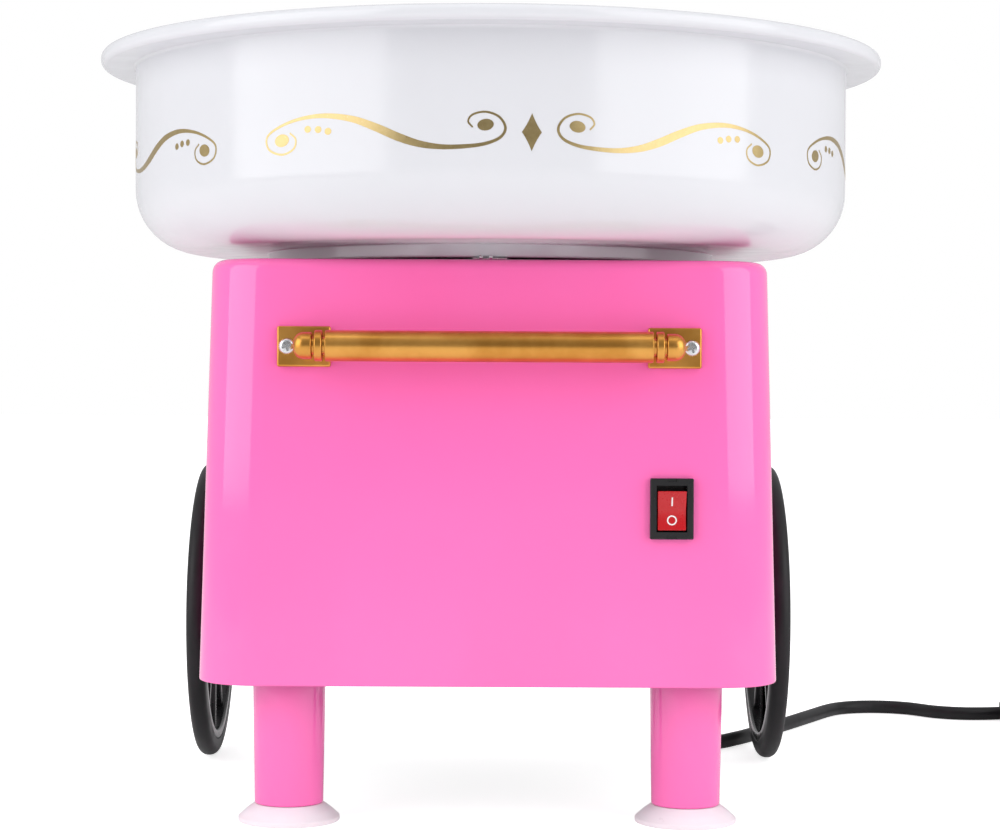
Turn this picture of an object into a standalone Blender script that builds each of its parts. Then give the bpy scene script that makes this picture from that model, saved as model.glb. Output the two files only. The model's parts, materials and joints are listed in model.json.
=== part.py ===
"""Cotton candy machine: a pink body on two legs and two cart wheels, with a lift-off bowl round a spinning head.

Metres, +Z up. The origin is on the ground under the spinner's axis, and the front faces -Y.
Run it with: blender --background --python part.py
"""

import math

import bmesh
import bpy
from mathutils import Matrix, Vector

GAP = 0.0003  # between pieces that touch
CLEARANCE = 0.0004  # a pin, screw or neck in its hole

# Rear wheels on one axle, which sets how high the body stands
WHEEL_RADIUS = 0.0603
WHEEL_STANDOFF = 0.0129
WHEEL_Y = 0.073
AXLE_RISE = 0.0103
TYRE_WIDTH = 0.0074
TYRE_HEIGHT = 0.0066
RIM_HEIGHT = 0.0036
HUB_RADIUS = 0.0105
SPOKES = 12
SPOKE_THICKNESS = 0.0032
AXLE_RADIUS = 0.0030
BUSH_WALL = 0.0024
CAP_RADIUS = 0.0072

# Body: a tapered rounded box, open below
BODY_BASE_Z = WHEEL_RADIUS - AXLE_RISE
BODY_HEIGHT = 0.1475
BODY_HALF_WIDTH = 0.1018
BODY_HALF_DEPTH = 0.096
BODY_TAPER_X = 0.0040
BODY_TAPER_Y = 0.0025
BODY_CORNER = 0.022
BODY_TOP_FILLET = 0.0055
BODY_WALL = 0.0025
BOSS_RADIUS = 0.0042
BOSS_INSET = 0.0155
BOSS_Y = 0.055
BASE_THICKNESS = 0.003
VENTS = 7
VENT_PITCH = 0.007
VENT_WIDTH = 0.0036

# Bowl: a plain pan with a rolled rim, a foot ring and a collar round its central hole
BOWL_RADIUS = 0.1345
BOWL_RIM_RADIUS = 0.1474
BOWL_RIM_THICKNESS = 0.006
BOWL_WALL = 0.0025
BOWL_CORNER = 0.023
BOWL_HEIGHT = 0.074
BOWL_FOOT_RADIUS = 0.0846
BOWL_FOOT_DROP = 0.0040
BOWL_COLLAR_RISE = 0.0095

# Heater tray: a cup let into the body's top, which also centres the bowl
TRAY_RADIUS = 0.041
TRAY_WALL = 0.0022
TRAY_DEPTH = 0.0195
TRAY_RISE = 0.0117
TRAY_FLANGE_RADIUS = 0.062
TRAY_FLANGE = 0.0015
TRAY_BOWL_CLEARANCE = 0.0013

# Heating element: a rod bent to an open ring, with both ends down through insulators
ELEMENT_RADIUS = 0.027
ELEMENT_ROD = 0.0022
ELEMENT_LIFT = 0.0145
ELEMENT_OPENING = math.radians(12)
ELEMENT_TAIL = 0.024
INSULATOR_WALL = 0.0016

# Spinner: a slotted head on the motor's shaft
SPINNER_RADIUS = 0.034
SPINNER_WALL = 0.0015
SPINNER_CUP = 0.0110
SPINNER_BAND = 0.0115
SPINNER_SLOTS = 12
SPINNER_SLOT_WIDTH = 0.0016
SPINNER_MOUTH = 0.016
SPINNER_LIFT = 0.0050

# Motor
SHAFT_RADIUS = 0.0025
SHAFT_LENGTH = 0.131
MOTOR_RADIUS = 0.021
MOTOR_LENGTH = 0.050
MOTOR_WALL = 0.0015
MOTOR_DROP = 0.027
ROTOR_RADIUS = 0.0155
FAN_RADIUS = 0.024
FAN_BLADES = 6
BRACKET_THICKNESS = 0.002
BRACKET_WIDTH = 0.030

# Front legs and their suction cups
LEG_X = 0.0701
LEG_Y = 0.074
LEG_TOP_RADIUS = 0.0128
LEG_FOOT_RADIUS = 0.0121
CUP_RADIUS = 0.0179
CUP_HEIGHT = 0.0061
CUP_STEM_RADIUS = 0.004

# Handle on the front
HANDLE_Z = BODY_BASE_Z + 0.117
HANDLE_STANDOFF = 0.011
HANDLE_RADIUS = 0.005
HANDLE_HALF_LENGTH = 0.056
COLLAR_RADIUS = 0.0054
COLLAR_LENGTH = 0.0035
DOME_RADIUS = 0.0041
DOME_LENGTH = 0.006
TENON_RADIUS = 0.0030
PLATE_WIDTH = 0.0185
PLATE_HEIGHT = 0.014
PLATE_THICKNESS = 0.002
PLATE_OUTER_X = 0.073

# Rocker switch on the front
SWITCH_X = 0.063
SWITCH_Z = BODY_BASE_Z + 0.0618
BEZEL_WIDTH = 0.015
BEZEL_HEIGHT = 0.021
BEZEL_THICKNESS = 0.002
SWITCH_DEPTH = 0.014
ROCKER_WIDTH = 0.0098
ROCKER_HALF_HEIGHT = 0.0070
ROCKER_TILT = math.radians(9)
ROCKER_PIVOT_DEPTH = 0.0010

# Mains lead
CORD_RADIUS = 0.003
COIL_CENTRE = (0.270, 0.151)
COIL_RADIUS = 0.034
COIL_THICKNESS = 0.012
TIE_THICKNESS = 0.0007
TIE_WIDTH = 0.005
RELIEF_X, RELIEF_Y = 0.078, 0.070
RELIEF_LENGTH = 0.0190
RELIEF_NECK = 0.0052
# The lead from its strain relief down to the ground, under the right wheel's tail and away to its coil
CORD_ROUTE = [
    (0.0780, 0.0700, 0.0304),
    (0.0781, 0.0701, 0.0262),
    (0.0793, 0.0713, 0.0184),
    (0.0832, 0.0752, 0.0102),
    (0.0889, 0.0809, 0.0049),
    (0.0955, 0.0875, 0.0030),
    (0.1060, 0.1010, 0.0030),
    (0.1190, 0.1215, 0.0030),
    (0.1330, 0.1445, 0.0030),
    (0.1480, 0.1685, 0.0030),
    (0.1595, 0.1865, 0.0030),
    (0.1685, 0.1970, 0.0030),
    (0.1800, 0.2020, 0.0030),
    (0.1920, 0.1990, 0.0030),
    (0.2000, 0.1895, 0.0030),
    (0.2065, 0.1780, 0.0030),
    (0.2165, 0.1712, 0.0030),
    (0.2285, 0.1735, 0.0030),
]

BODY_TOP_Z = BODY_BASE_Z + BODY_HEIGHT
BASE_TOP_Z = BODY_BASE_Z + BASE_THICKNESS
FACE_TILT = math.atan2(BODY_TAPER_Y, BODY_HEIGHT)
FLANGE_Z = BODY_TOP_Z + GAP
TRAY_FLOOR_Z = BODY_TOP_Z - TRAY_DEPTH
BOWL_SEAT_Z = FLANGE_Z + TRAY_FLANGE + GAP
BOWL_BASE_Z = BOWL_SEAT_Z + BOWL_FOOT_DROP - GAP
ELEMENT_Z = TRAY_FLOOR_Z + TRAY_WALL + ELEMENT_LIFT
SPINNER_Z = ELEMENT_Z + ELEMENT_ROD + SPINNER_LIFT
MOTOR_TOP_Z = TRAY_FLOOR_Z - MOTOR_DROP
SHAFT_HOLE = SHAFT_RADIUS + CLEARANCE
AXLE_Z = WHEEL_RADIUS
WHEEL_X = BODY_HALF_WIDTH + WHEEL_STANDOFF
SCREW_RADIUS = 0.0015
SCREW_HEAD = 0.0028
ROD_TURN = math.radians(7)


def collection(name):
    made = bpy.data.collections.new(name)
    bpy.context.scene.collection.children.link(made)
    return made


def finish(name, colour, roughness, metallic=0.0):
    """A plain Principled material in the piece's own colour."""
    made = bpy.data.materials.new(name)
    made.use_nodes = True
    shader = made.node_tree.nodes["Principled BSDF"]
    shader.inputs["Base Color"].default_value = (*colour, 1)
    shader.inputs["Roughness"].default_value = roughness
    shader.inputs["Metallic"].default_value = metallic
    return made


def add(name, data, material, place=Matrix()):
    """An object in the machine's collection, or a hidden cutter where it has no material."""
    made = bpy.data.objects.new(name, data)
    made.matrix_world = place
    if material is None:
        CUTTERS.objects.link(made)
        made.hide_render = True
        made.display_type = "WIRE"
    else:
        MACHINE.objects.link(made)
        data.materials.append(material)
    return made


def turned(name, profile, material, steps=24, place=Matrix()):
    """Turns (radius, height) points about local Z. They run down the outer side, and a profile off the axis closes."""
    mesh = bpy.data.meshes.new(name)
    edges = [(i, i + 1) for i in range(len(profile) - 1)]
    if profile[0][0] > 0:
        edges.append((len(profile) - 1, 0))
    mesh.from_pydata([(radius, 0, height) for radius, height in profile], edges, [])
    made = add(name, mesh, material, place)
    screw = made.modifiers.new("turn", "SCREW")
    screw.steps = screw.render_steps = steps
    screw.use_merge_vertices = True
    screw.merge_threshold = 1e-6
    return made


def arc(centre, radius, start, end, parts):
    """Points on an arc in a profile, from one angle in degrees to the other."""
    turns = [math.radians(start + (end - start) * i / parts) for i in range(parts + 1)]
    return [(centre[0] + radius * math.cos(t), centre[1] + radius * math.sin(t)) for t in turns]


def box(name, low, high, material, place=Matrix(), bevel=0.0, segments=1):
    """A box between two corners, with all its edges rounded where a bevel is given."""
    shape = bmesh.new()
    bmesh.ops.create_cube(shape, size=1)
    for vertex in shape.verts:
        vertex.co = Vector([a if c < 0 else b for a, b, c in zip(low, high, vertex.co)])
    if bevel:
        bmesh.ops.bevel(shape, geom=shape.edges, offset=bevel, segments=segments, affect="EDGES", profile=0.5)
    mesh = bpy.data.meshes.new(name)
    shape.to_mesh(mesh)
    shape.free()
    return add(name, mesh, material, place)


def rod(name, radius, bottom, top, material, place=Matrix(), sides=16):
    """A plain round bar along local Z, turned a little so that a cutter's corners miss the seams of what it cuts."""
    place = place @ Matrix.Rotation(ROD_TURN, 4, "Z")
    return turned(name, [(0, top), (radius, top), (radius, bottom), (0, bottom)], material, sides, place)


def slab(name, outline, thickness, material, place=Matrix()):
    """A flat outline in local XY, filled and thickened evenly to both sides."""
    curve = bpy.data.curves.new(name, "CURVE")
    curve.dimensions = "2D"
    curve.fill_mode = "BOTH"
    curve.extrude = thickness / 2
    spline = curve.splines.new("POLY")
    spline.points.add(len(outline) - 1)
    for point, (x, y) in zip(spline.points, outline):
        point.co = (x, y, 0, 1)
    spline.use_cyclic_u = True
    return as_mesh(add(name, curve, material, place), material)


def as_mesh(source, material):
    """A curve object's shape as a mesh object of the same name, with its caps welded."""
    name, place = source.name, source.matrix_world.copy()
    bpy.context.view_layer.update()
    mesh = bpy.data.meshes.new_from_object(source.evaluated_get(bpy.context.evaluated_depsgraph_get()))
    bpy.data.objects.remove(source)
    shape = bmesh.new()
    shape.from_mesh(mesh)
    bmesh.ops.remove_doubles(shape, verts=shape.verts, dist=1e-6)
    bmesh.ops.recalc_face_normals(shape, faces=shape.faces)
    shape.to_mesh(mesh)
    shape.free()
    mesh.materials.clear()
    return add(name, mesh, material, place)


def tube(name, points, radius, material):
    """A round tube with filled caps along the points."""
    curve = bpy.data.curves.new(name, "CURVE")
    curve.dimensions = "3D"
    curve.bevel_depth = radius
    curve.bevel_resolution = 2
    curve.use_fill_caps = True
    spline = curve.splines.new("POLY")
    spline.points.add(len(points) - 1)
    for point, place in zip(spline.points, points):
        point.co = (*place, 1)
    return add(name, curve, material)


def smooth_line(route, parts):
    """Points on the smooth curve through the route's own points, so many for each stretch."""
    ends = [Vector(route[0]) * 2 - Vector(route[1]), Vector(route[-1]) * 2 - Vector(route[-2])]
    stops = [ends[0], *map(Vector, route), ends[1]]
    line = []
    for before, a, b, after in zip(stops, stops[1:], stops[2:], stops[3:]):
        for i in range(parts):
            t = i / parts
            line.append(
                0.5 * (2 * a + (b - before) * t + (2 * before - 5 * a + 4 * b - after) * t**2
                       + (3 * a - before - 3 * b + after) * t**3)
            )
    return [*line, stops[-2]]


def cut(piece, *tools, operation="DIFFERENCE"):
    for tool in tools:
        modifier = piece.modifiers.new(tool.name, "BOOLEAN")
        modifier.operation = operation
        modifier.solver = "EXACT"
        modifier.object = tool


def join(piece, *tools):
    cut(piece, *tools, operation="UNION")


def half_width(z):
    return BODY_HALF_WIDTH - BODY_TAPER_X * (z - BODY_BASE_Z) / BODY_HEIGHT


def half_depth(z):
    return BODY_HALF_DEPTH - BODY_TAPER_Y * (z - BODY_BASE_Z) / BODY_HEIGHT


def on_front(x, z):
    """A frame on the body's front face: local -Y points out of it, and local Z up it."""
    return Matrix.Translation((x, -half_depth(z), z)) @ Matrix.Rotation(-FACE_TILT, 4, "X")


def along_x(place, side):
    """The same frame with local Z along X, outward on that side."""
    return place @ Matrix.Rotation(side * math.pi / 2, 4, "Y")


def along_y(place):
    """The same frame with local Z out of the front face."""
    return place @ Matrix.Rotation(math.pi / 2, 4, "X")


def screw(name, length, place):
    """A pan-head screw along local Z, with its head's seat at zero and its shank below."""
    dome = arc((0, 0), 1, 90, 0, 2)
    head = [(SCREW_HEAD * x, 0.0017 * y) for x, y in dome]
    head[0] = (0, head[0][1])
    shank = [(SCREW_RADIUS, 0), (SCREW_RADIUS, -length + 0.001), (0, -length)]
    return turned(name, head + shank, STEEL, 8, place @ Matrix.Translation((0, 0, GAP)))


def rounded_rectangle(half_x, half_y, radius, parts):
    points = []
    for x, y, start in ((1, 1, 0), (-1, 1, 90), (-1, -1, 180), (1, -1, 270)):
        centre = (x * (half_x - radius), y * (half_y - radius))
        points += arc(centre, radius, start, start + 90, parts)
    return points


def body():
    """The pink shell, its switch, tray, axle and screw openings, and the bosses that its base screws into."""
    shape = bmesh.new()
    bmesh.ops.create_cube(shape, size=2)
    for vertex in shape.verts:
        z = BODY_BASE_Z if vertex.co.z < 0 else BODY_TOP_Z
        vertex.co = Vector((vertex.co.x * half_width(z), vertex.co.y * half_depth(z), z))
    upright = [e for e in shape.edges if abs(e.verts[0].co.z - e.verts[1].co.z) > GAP]
    bmesh.ops.bevel(shape, geom=upright, offset=BODY_CORNER, segments=5, affect="EDGES", profile=0.5)
    top = [e for e in shape.edges if min(v.co.z for v in e.verts) > BODY_TOP_Z - GAP]
    bmesh.ops.bevel(shape, geom=top, offset=BODY_TOP_FILLET, segments=3, affect="EDGES", profile=0.5)
    floor = [f for f in shape.faces if f.calc_center_median().z < BODY_BASE_Z + GAP]
    bmesh.ops.delete(shape, geom=floor, context="FACES")
    mesh = bpy.data.meshes.new("body_shell")
    shape.to_mesh(mesh)
    shape.free()
    shell = add("body_shell", mesh, PINK)
    wall = shell.modifiers.new("wall", "SOLIDIFY")
    wall.thickness = BODY_WALL
    wall.use_even_offset = True

    boss_top = BODY_TOP_Z - BODY_WALL / 2
    for i, (x, y) in enumerate(boss_places()):
        place = Matrix.Translation((x, y, 0))
        join(shell, rod(f"boss_{i}", BOSS_RADIUS, BASE_TOP_Z + GAP, boss_top, None, place, 8))
        cut(shell, rod(f"boss_bore_{i}", SCREW_RADIUS + CLEARANCE, BODY_BASE_Z, BASE_TOP_Z + 0.014, None, place, 8))
    cut(shell, rod("tray_hole", TRAY_RADIUS + CLEARANCE, TRAY_FLOOR_Z, BODY_TOP_Z + 0.01, None, sides=32))
    cut(shell, *tray_screw_holes())
    switch = on_front(SWITCH_X, SWITCH_Z)
    x, z = BEZEL_WIDTH / 2 - 0.0009, BEZEL_HEIGHT / 2 - 0.0009
    cut(shell, box("switch_cutout", (-x, -0.01, -z), (x, 0.01, z), None, switch))
    for side in (-1, 1):
        place = on_front(side * handle_screw_x(), HANDLE_Z)
        cut(shell, rod(f"handle_hole_{side}", SCREW_RADIUS + CLEARANCE, -0.01, 0.01, None, along_y(place), 10))
    hole = AXLE_RADIUS + CLEARANCE + BUSH_WALL + CLEARANCE
    axle_line = along_x(Matrix.Translation((0, WHEEL_Y, AXLE_Z)), 1)
    cut(shell, rod("axle_hole", hole, -BODY_HALF_WIDTH - 0.01, BODY_HALF_WIDTH + 0.01, None, axle_line, 24))


def boss_places():
    x = BODY_HALF_WIDTH - BOSS_INSET
    return [(sx * x, sy * BOSS_Y) for sx in (-1, 1) for sy in (-1, 1)]


def base():
    """The plate that closes the body below, slotted for the fan's air, with its four screws."""
    x = BODY_HALF_WIDTH - BODY_WALL - CLEARANCE
    y = BODY_HALF_DEPTH - BODY_WALL - CLEARANCE
    outline = rounded_rectangle(x, y, BODY_CORNER - BODY_WALL - CLEARANCE, 5)
    middle = Matrix.Translation((0, 0, BODY_BASE_Z + BASE_THICKNESS / 2))
    plate = slab("base_plate", outline, BASE_THICKNESS, DARK, middle)
    for i in range(VENTS):
        x = (i - (VENTS - 1) / 2) * VENT_PITCH
        reach = math.sqrt(FAN_RADIUS**2 - x**2)
        low, high = (x - VENT_WIDTH / 2, -reach, 0), (x + VENT_WIDTH / 2, reach, 2 * BODY_BASE_Z)
        cut(plate, box(f"vent_{i}", low, high, None))
    for i, (x, y) in enumerate(boss_places()):
        place = Matrix.Translation((x, y, 0))
        cut(plate, rod(f"base_hole_{i}", SCREW_RADIUS + CLEARANCE, 0, 2 * BODY_BASE_Z, None, place, 10))
        turn = Matrix.Translation((x, y, BODY_BASE_Z)) @ Matrix.Rotation(math.pi, 4, "X")
        screw(f"base_screw_{i + 1}", 0.012, turn)
    for side in (-1, 1):
        place = Matrix.Translation((side * LEG_X, -LEG_Y, 0))
        cut(plate, rod(f"leg_hole_{side}", SCREW_RADIUS + CLEARANCE, 0, 2 * BODY_BASE_Z, None, place, 10))
    relief = Matrix.Translation((RELIEF_X, RELIEF_Y, 0))
    cut(plate, rod("relief_hole", RELIEF_NECK + CLEARANCE, 0, 2 * BODY_BASE_Z, None, relief, 20))


def legs():
    """Two tapered legs, each drawn up by a screw through the base, on a soft suction cup."""
    for side, name in ((-1, "left"), (1, "right")):
        place = Matrix.Translation((side * LEG_X, -LEG_Y, 0))
        top, foot = BODY_BASE_Z - GAP, CUP_HEIGHT + GAP
        bore, stem = SCREW_RADIUS + CLEARANCE, CUP_STEM_RADIUS
        profile = [
            (bore, top), (LEG_TOP_RADIUS, top), (LEG_FOOT_RADIUS, foot), (stem + CLEARANCE, foot),
            (stem + CLEARANCE, foot + 0.0085), (0, foot + 0.0085),
        ]
        turned(f"leg_{name}", [(0, top - 0.016), (bore, top - 0.016), *profile], PINK, 16, place)
        screw(f"leg_screw_{name}", 0.0145, place @ Matrix.Translation((0, 0, BASE_TOP_Z)))
        lip = 0.0022
        cup = [
            (0, foot + 0.0080), (stem, foot + 0.0080), (stem, CUP_HEIGHT), (LEG_FOOT_RADIUS, CUP_HEIGHT),
            (CUP_RADIUS - 0.0028, 0.0040), (CUP_RADIUS, 0.0016), (CUP_RADIUS, 0),
            (CUP_RADIUS - lip, 0), (CUP_RADIUS - lip - 0.0025, 0.0016), (0.006, 0.0032), (0, 0.0034),
        ]
        turned(f"suction_cup_{name}", cup, CLEAR_RUBBER, 20, place)


def wheels():
    """Two spoked wheels that turn on one fixed axle through the body, between flanged bushes and push-on caps."""
    flange = half_width(AXLE_Z - CAP_RADIUS) + GAP
    hub_start, hub_end = flange + 0.0015 + GAP, WHEEL_X + TYRE_WIDTH / 2
    axle = along_x(Matrix.Translation((0, WHEEL_Y, AXLE_Z)), 1)
    rod("wheel_axle", AXLE_RADIUS, -hub_end - 0.0022, hub_end + 0.0022, STEEL, axle, 16)
    bore = AXLE_RADIUS + CLEARANCE
    rim_outer = WHEEL_RADIUS - TYRE_HEIGHT - GAP
    rim_inner = rim_outer - RIM_HEIGHT
    half = TYRE_WIDTH / 2
    for side, name in ((-1, "left"), (1, "right")):
        centre = along_x(Matrix.Translation((side * WHEEL_X, WHEEL_Y, AXLE_Z)), side)
        start, end = hub_start - WHEEL_X, hub_end - WHEEL_X
        hub = [
            (bore, end), (HUB_RADIUS - 0.002, end), (HUB_RADIUS, end - 0.002), (HUB_RADIUS, -half),
            (CAP_RADIUS, start), (bore, start),
        ]
        wheel = turned(f"wheel_{name}", hub, BLACK, 16, centre)
        rim = [
            (rim_inner, half - 0.0002), (rim_outer, half - 0.0002), (rim_outer, 0.0002 - half), (rim_inner, 0.0002 - half),
        ]
        join(wheel, turned(f"rim_{name}", rim, None, 32, centre))
        for i in range(SPOKES):
            turn = centre @ Matrix.Rotation(2 * math.pi * i / SPOKES, 4, "Z")
            width = SPOKE_THICKNESS / 2
            low, high = (HUB_RADIUS - 0.003, -width, -width), (rim_inner + 0.001, width, width)
            join(wheel, box(f"spoke_{name}_{i}", low, high, None, turn))
        tread = WHEEL_RADIUS
        tyre = [
            (tread - TYRE_HEIGHT, half), (tread - 0.0022, half), (tread, half - 0.0022),
            (tread, 0.0022 - half), (tread - 0.0022, -half), (tread - TYRE_HEIGHT, -half),
        ]
        turned(f"tyre_{name}", tyre, RUBBER, 32, centre)
        inner = Matrix.Translation((side * flange, WHEEL_Y, AXLE_Z))
        sleeve = bore + BUSH_WALL
        bush = [
            (bore, 0.0015), (CAP_RADIUS, 0.0015), (CAP_RADIUS, 0), (sleeve, 0), (sleeve, -0.006), (bore, -0.006),
        ]
        turned(f"axle_bush_{name}", bush, DARK, 14, along_x(inner, side))
        face = hub_end + GAP
        cap = [
            (0, 0.0040), (CAP_RADIUS * 0.55, 0.0036), (CAP_RADIUS * 0.9, 0.0022), (CAP_RADIUS, 0.0006), (CAP_RADIUS, 0),
            (bore, 0), (bore, 0.0024), (0, 0.0024),
        ]
        turned(f"hub_cap_{name}", cap, GOLD, 14, along_x(Matrix.Translation((side * face, WHEEL_Y, AXLE_Z)), side))


def handle_plate_x():
    return PLATE_OUTER_X - PLATE_WIDTH / 2


def handle_screw_x():
    return PLATE_OUTER_X - 0.0035


def handle():
    """A fixed gold bar, held at each end in a collar that a square plate screws to the body."""
    line = along_x(on_front(0, HANDLE_Z) @ Matrix.Translation((0, -HANDLE_STANDOFF, 0)), 1)
    end = HANDLE_HALF_LENGTH - GAP
    tip = end + COLLAR_LENGTH * 0.7
    bar = [
        (0, tip), (TENON_RADIUS, tip), (TENON_RADIUS, end), (HANDLE_RADIUS, end),
        (HANDLE_RADIUS, -end), (TENON_RADIUS, -end), (TENON_RADIUS, -tip), (0, -tip),
    ]
    turned("handle_bar", bar, GOLD, 16, line)
    for side, name in ((-1, "left"), (1, "right")):
        face = on_front(side * handle_plate_x(), HANDLE_Z)
        x, z = PLATE_WIDTH / 2, PLATE_HEIGHT / 2
        low, high = (-x, -GAP - PLATE_THICKNESS, -z), (x, -GAP, z)
        bracket = box(f"handle_bracket_{name}", low, high, GOLD, face, bevel=0.0007)
        axis = along_x(on_front(side * HANDLE_HALF_LENGTH, HANDLE_Z) @ Matrix.Translation((0, -HANDLE_STANDOFF, 0)), side)
        bore = TENON_RADIUS + CLEARANCE
        dome = arc((0, COLLAR_LENGTH + DOME_LENGTH - DOME_RADIUS), DOME_RADIUS, 90, 0, 3)
        fitting = [
            (0, dome[0][1]), *dome[1:], (DOME_RADIUS, COLLAR_LENGTH + 0.0003), (COLLAR_RADIUS, COLLAR_LENGTH),
            (COLLAR_RADIUS, 0), (bore, 0), (bore, COLLAR_LENGTH * 0.8), (0, COLLAR_LENGTH * 0.8),
        ]
        post = on_front(side * (HANDLE_HALF_LENGTH + COLLAR_LENGTH + DOME_LENGTH * 0.35), HANDLE_Z)
        join(bracket, turned(f"fitting_{name}", fitting, None, 16, axis))
        join(bracket, rod(f"post_{name}", DOME_RADIUS * 0.85, PLATE_THICKNESS / 2, HANDLE_STANDOFF, None, along_y(post), 10))
        seat = on_front(side * handle_screw_x(), HANDLE_Z)
        cut(bracket, rod(f"plate_hole_{name}", SCREW_RADIUS + CLEARANCE, -0.01, 0.004, None, along_y(seat), 10))
        head = along_y(seat @ Matrix.Translation((0, -GAP - PLATE_THICKNESS, 0)))
        screw(f"handle_screw_{name}", 0.0105, head)


def switch():
    """A snap-in rocker switch: its bezel's flange on the face, its box behind, and the rocker on a cross pivot."""
    face = on_front(SWITCH_X, SWITCH_Z)
    x, z = BEZEL_WIDTH / 2, BEZEL_HEIGHT / 2
    flange = BEZEL_THICKNESS
    bezel = box("switch_bezel", (-x, -GAP - flange, -z), (x, -GAP, z), BLACK, face, bevel=0.0006)
    x, z = x - 0.0009 - CLEARANCE, z - 0.0009 - CLEARANCE
    join(bezel, box("switch_box", (-x, -GAP - flange / 2, -z), (x, SWITCH_DEPTH, z), None, face))
    x, z = ROCKER_WIDTH / 2 + CLEARANCE, ROCKER_HALF_HEIGHT + 0.0010
    cut(bezel, box("switch_well", (-x, -0.01, -z), (x, SWITCH_DEPTH - 0.0015, z), None, face))
    half = ROCKER_HALF_HEIGHT
    outline = [(0, 0.0030), (half, 0.0044), (half * 0.7, -0.0030), (-half * 0.7, -0.0030), (-half, 0.0044)]
    pivot = face @ Matrix.Translation((0, ROCKER_PIVOT_DEPTH, 0)) @ Matrix.Rotation(ROCKER_TILT, 4, "X")
    # local X of the outline runs up the face, its local Y out of it
    turn = pivot @ Matrix(((0, 0, -1, 0), (0, -1, 0, 0), (-1, 0, 0, 0), (0, 0, 0, 1)))
    slab("switch_rocker", outline, ROCKER_WIDTH, RED, turn)


def tray_screw_places():
    x = (TRAY_RADIUS + TRAY_FLANGE_RADIUS) / 2 + 0.003
    return (("left", -x), ("right", x))


def tray_screw_holes():
    return [
        rod(f"tray_bore_{name}_{len(bpy.data.objects)}", SCREW_RADIUS + CLEARANCE, TRAY_FLOOR_Z, BODY_TOP_Z + 0.02, None,
            Matrix.Translation((x, 0, 0)), 10)
        for name, x in tray_screw_places()
    ]


def tail_places():
    """Where the element's two ends go down through the tray."""
    x, y = ELEMENT_RADIUS * math.cos(ELEMENT_OPENING), ELEMENT_RADIUS * math.sin(ELEMENT_OPENING)
    return (("front", x, -y), ("rear", x, y))


def heater():
    """The white tray in the body's top, with its reflector, the element, its insulators and a thermal cut-out."""
    inner = TRAY_RADIUS - TRAY_WALL
    top, flange = BODY_TOP_Z + TRAY_RISE + 0.0018, FLANGE_Z + TRAY_FLANGE
    floor = TRAY_FLOOR_Z
    shaft = SHAFT_RADIUS + 0.003
    profile = [
        (inner, top), (TRAY_RADIUS, top), (TRAY_RADIUS, flange), (TRAY_FLANGE_RADIUS, flange),
        (TRAY_FLANGE_RADIUS, FLANGE_Z), (TRAY_RADIUS, FLANGE_Z), (TRAY_RADIUS, floor), (shaft, floor),
        (shaft, floor + TRAY_WALL), (inner, floor + TRAY_WALL),
    ]
    tray = turned("heater_tray", profile, WHITE, 28)
    cut(tray, *tray_screw_holes())
    for name, x in tray_screw_places():
        screw(f"tray_screw_{name}", 0.011, Matrix.Translation((x, 0, flange)))

    shield_radius, shield_z = inner - 0.002, floor + TRAY_WALL + 0.0025
    sheet = 0.0008
    dish = [
        (shield_radius - sheet, shield_z + 0.007), (shield_radius, shield_z + 0.007), (shield_radius - 0.003, shield_z),
        (shaft + 0.003, shield_z), (shaft + 0.003, shield_z + sheet), (shield_radius - 0.003 - sheet, shield_z + sheet),
    ]
    shield = turned("heat_shield", dish, ALUMINIUM, 20)
    bore = ELEMENT_ROD + CLEARANCE
    outer = bore + INSULATOR_WALL
    for name, x, y in tail_places():
        place = Matrix.Translation((x, y, 0))
        hole = rod(f"insulator_hole_{name}", outer + CLEARANCE, floor - 0.01, floor + 0.02, None, place, 16)
        cut(tray, hole)
        cut(shield, hole)
        sleeve = [(bore, floor + 0.009), (outer, floor + 0.009), (outer, floor - 0.004), (bore, floor - 0.004)]
        turned(f"element_insulator_{name}", sleeve, CERAMIC, 12, place)

    bend = 0.004
    opening = ELEMENT_OPENING + bend / ELEMENT_RADIUS
    (_, x, y), _ = tail_places()
    drop = [(x, y, ELEMENT_Z - ELEMENT_TAIL), (x, y, ELEMENT_Z - bend)]
    start = 2 * math.pi - opening
    ring = [start - (2 * math.pi - 2 * opening) * i / 20 for i in range(21)]
    loop = [(ELEMENT_RADIUS * math.cos(t), ELEMENT_RADIUS * math.sin(t), ELEMENT_Z) for t in ring]
    corner = [((x + loop[0][0]) / 2, (y * 2.6 + loop[0][1]) / 3.6, ELEMENT_Z - bend * 0.3)]
    back = [(x, -y, z) for x, y, z in reversed(drop + corner)]
    tube("heating_element", drop + corner + loop + back, ELEMENT_ROD, IRON)
    turned(
        "thermal_cutout",
        [(0, 0), (0.008, 0), (0.008, -0.005), (0.005, -0.007), (0, -0.007)],
        BLACK, 16, Matrix.Translation((-ELEMENT_RADIUS, 0, floor - GAP)),
    )


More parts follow.
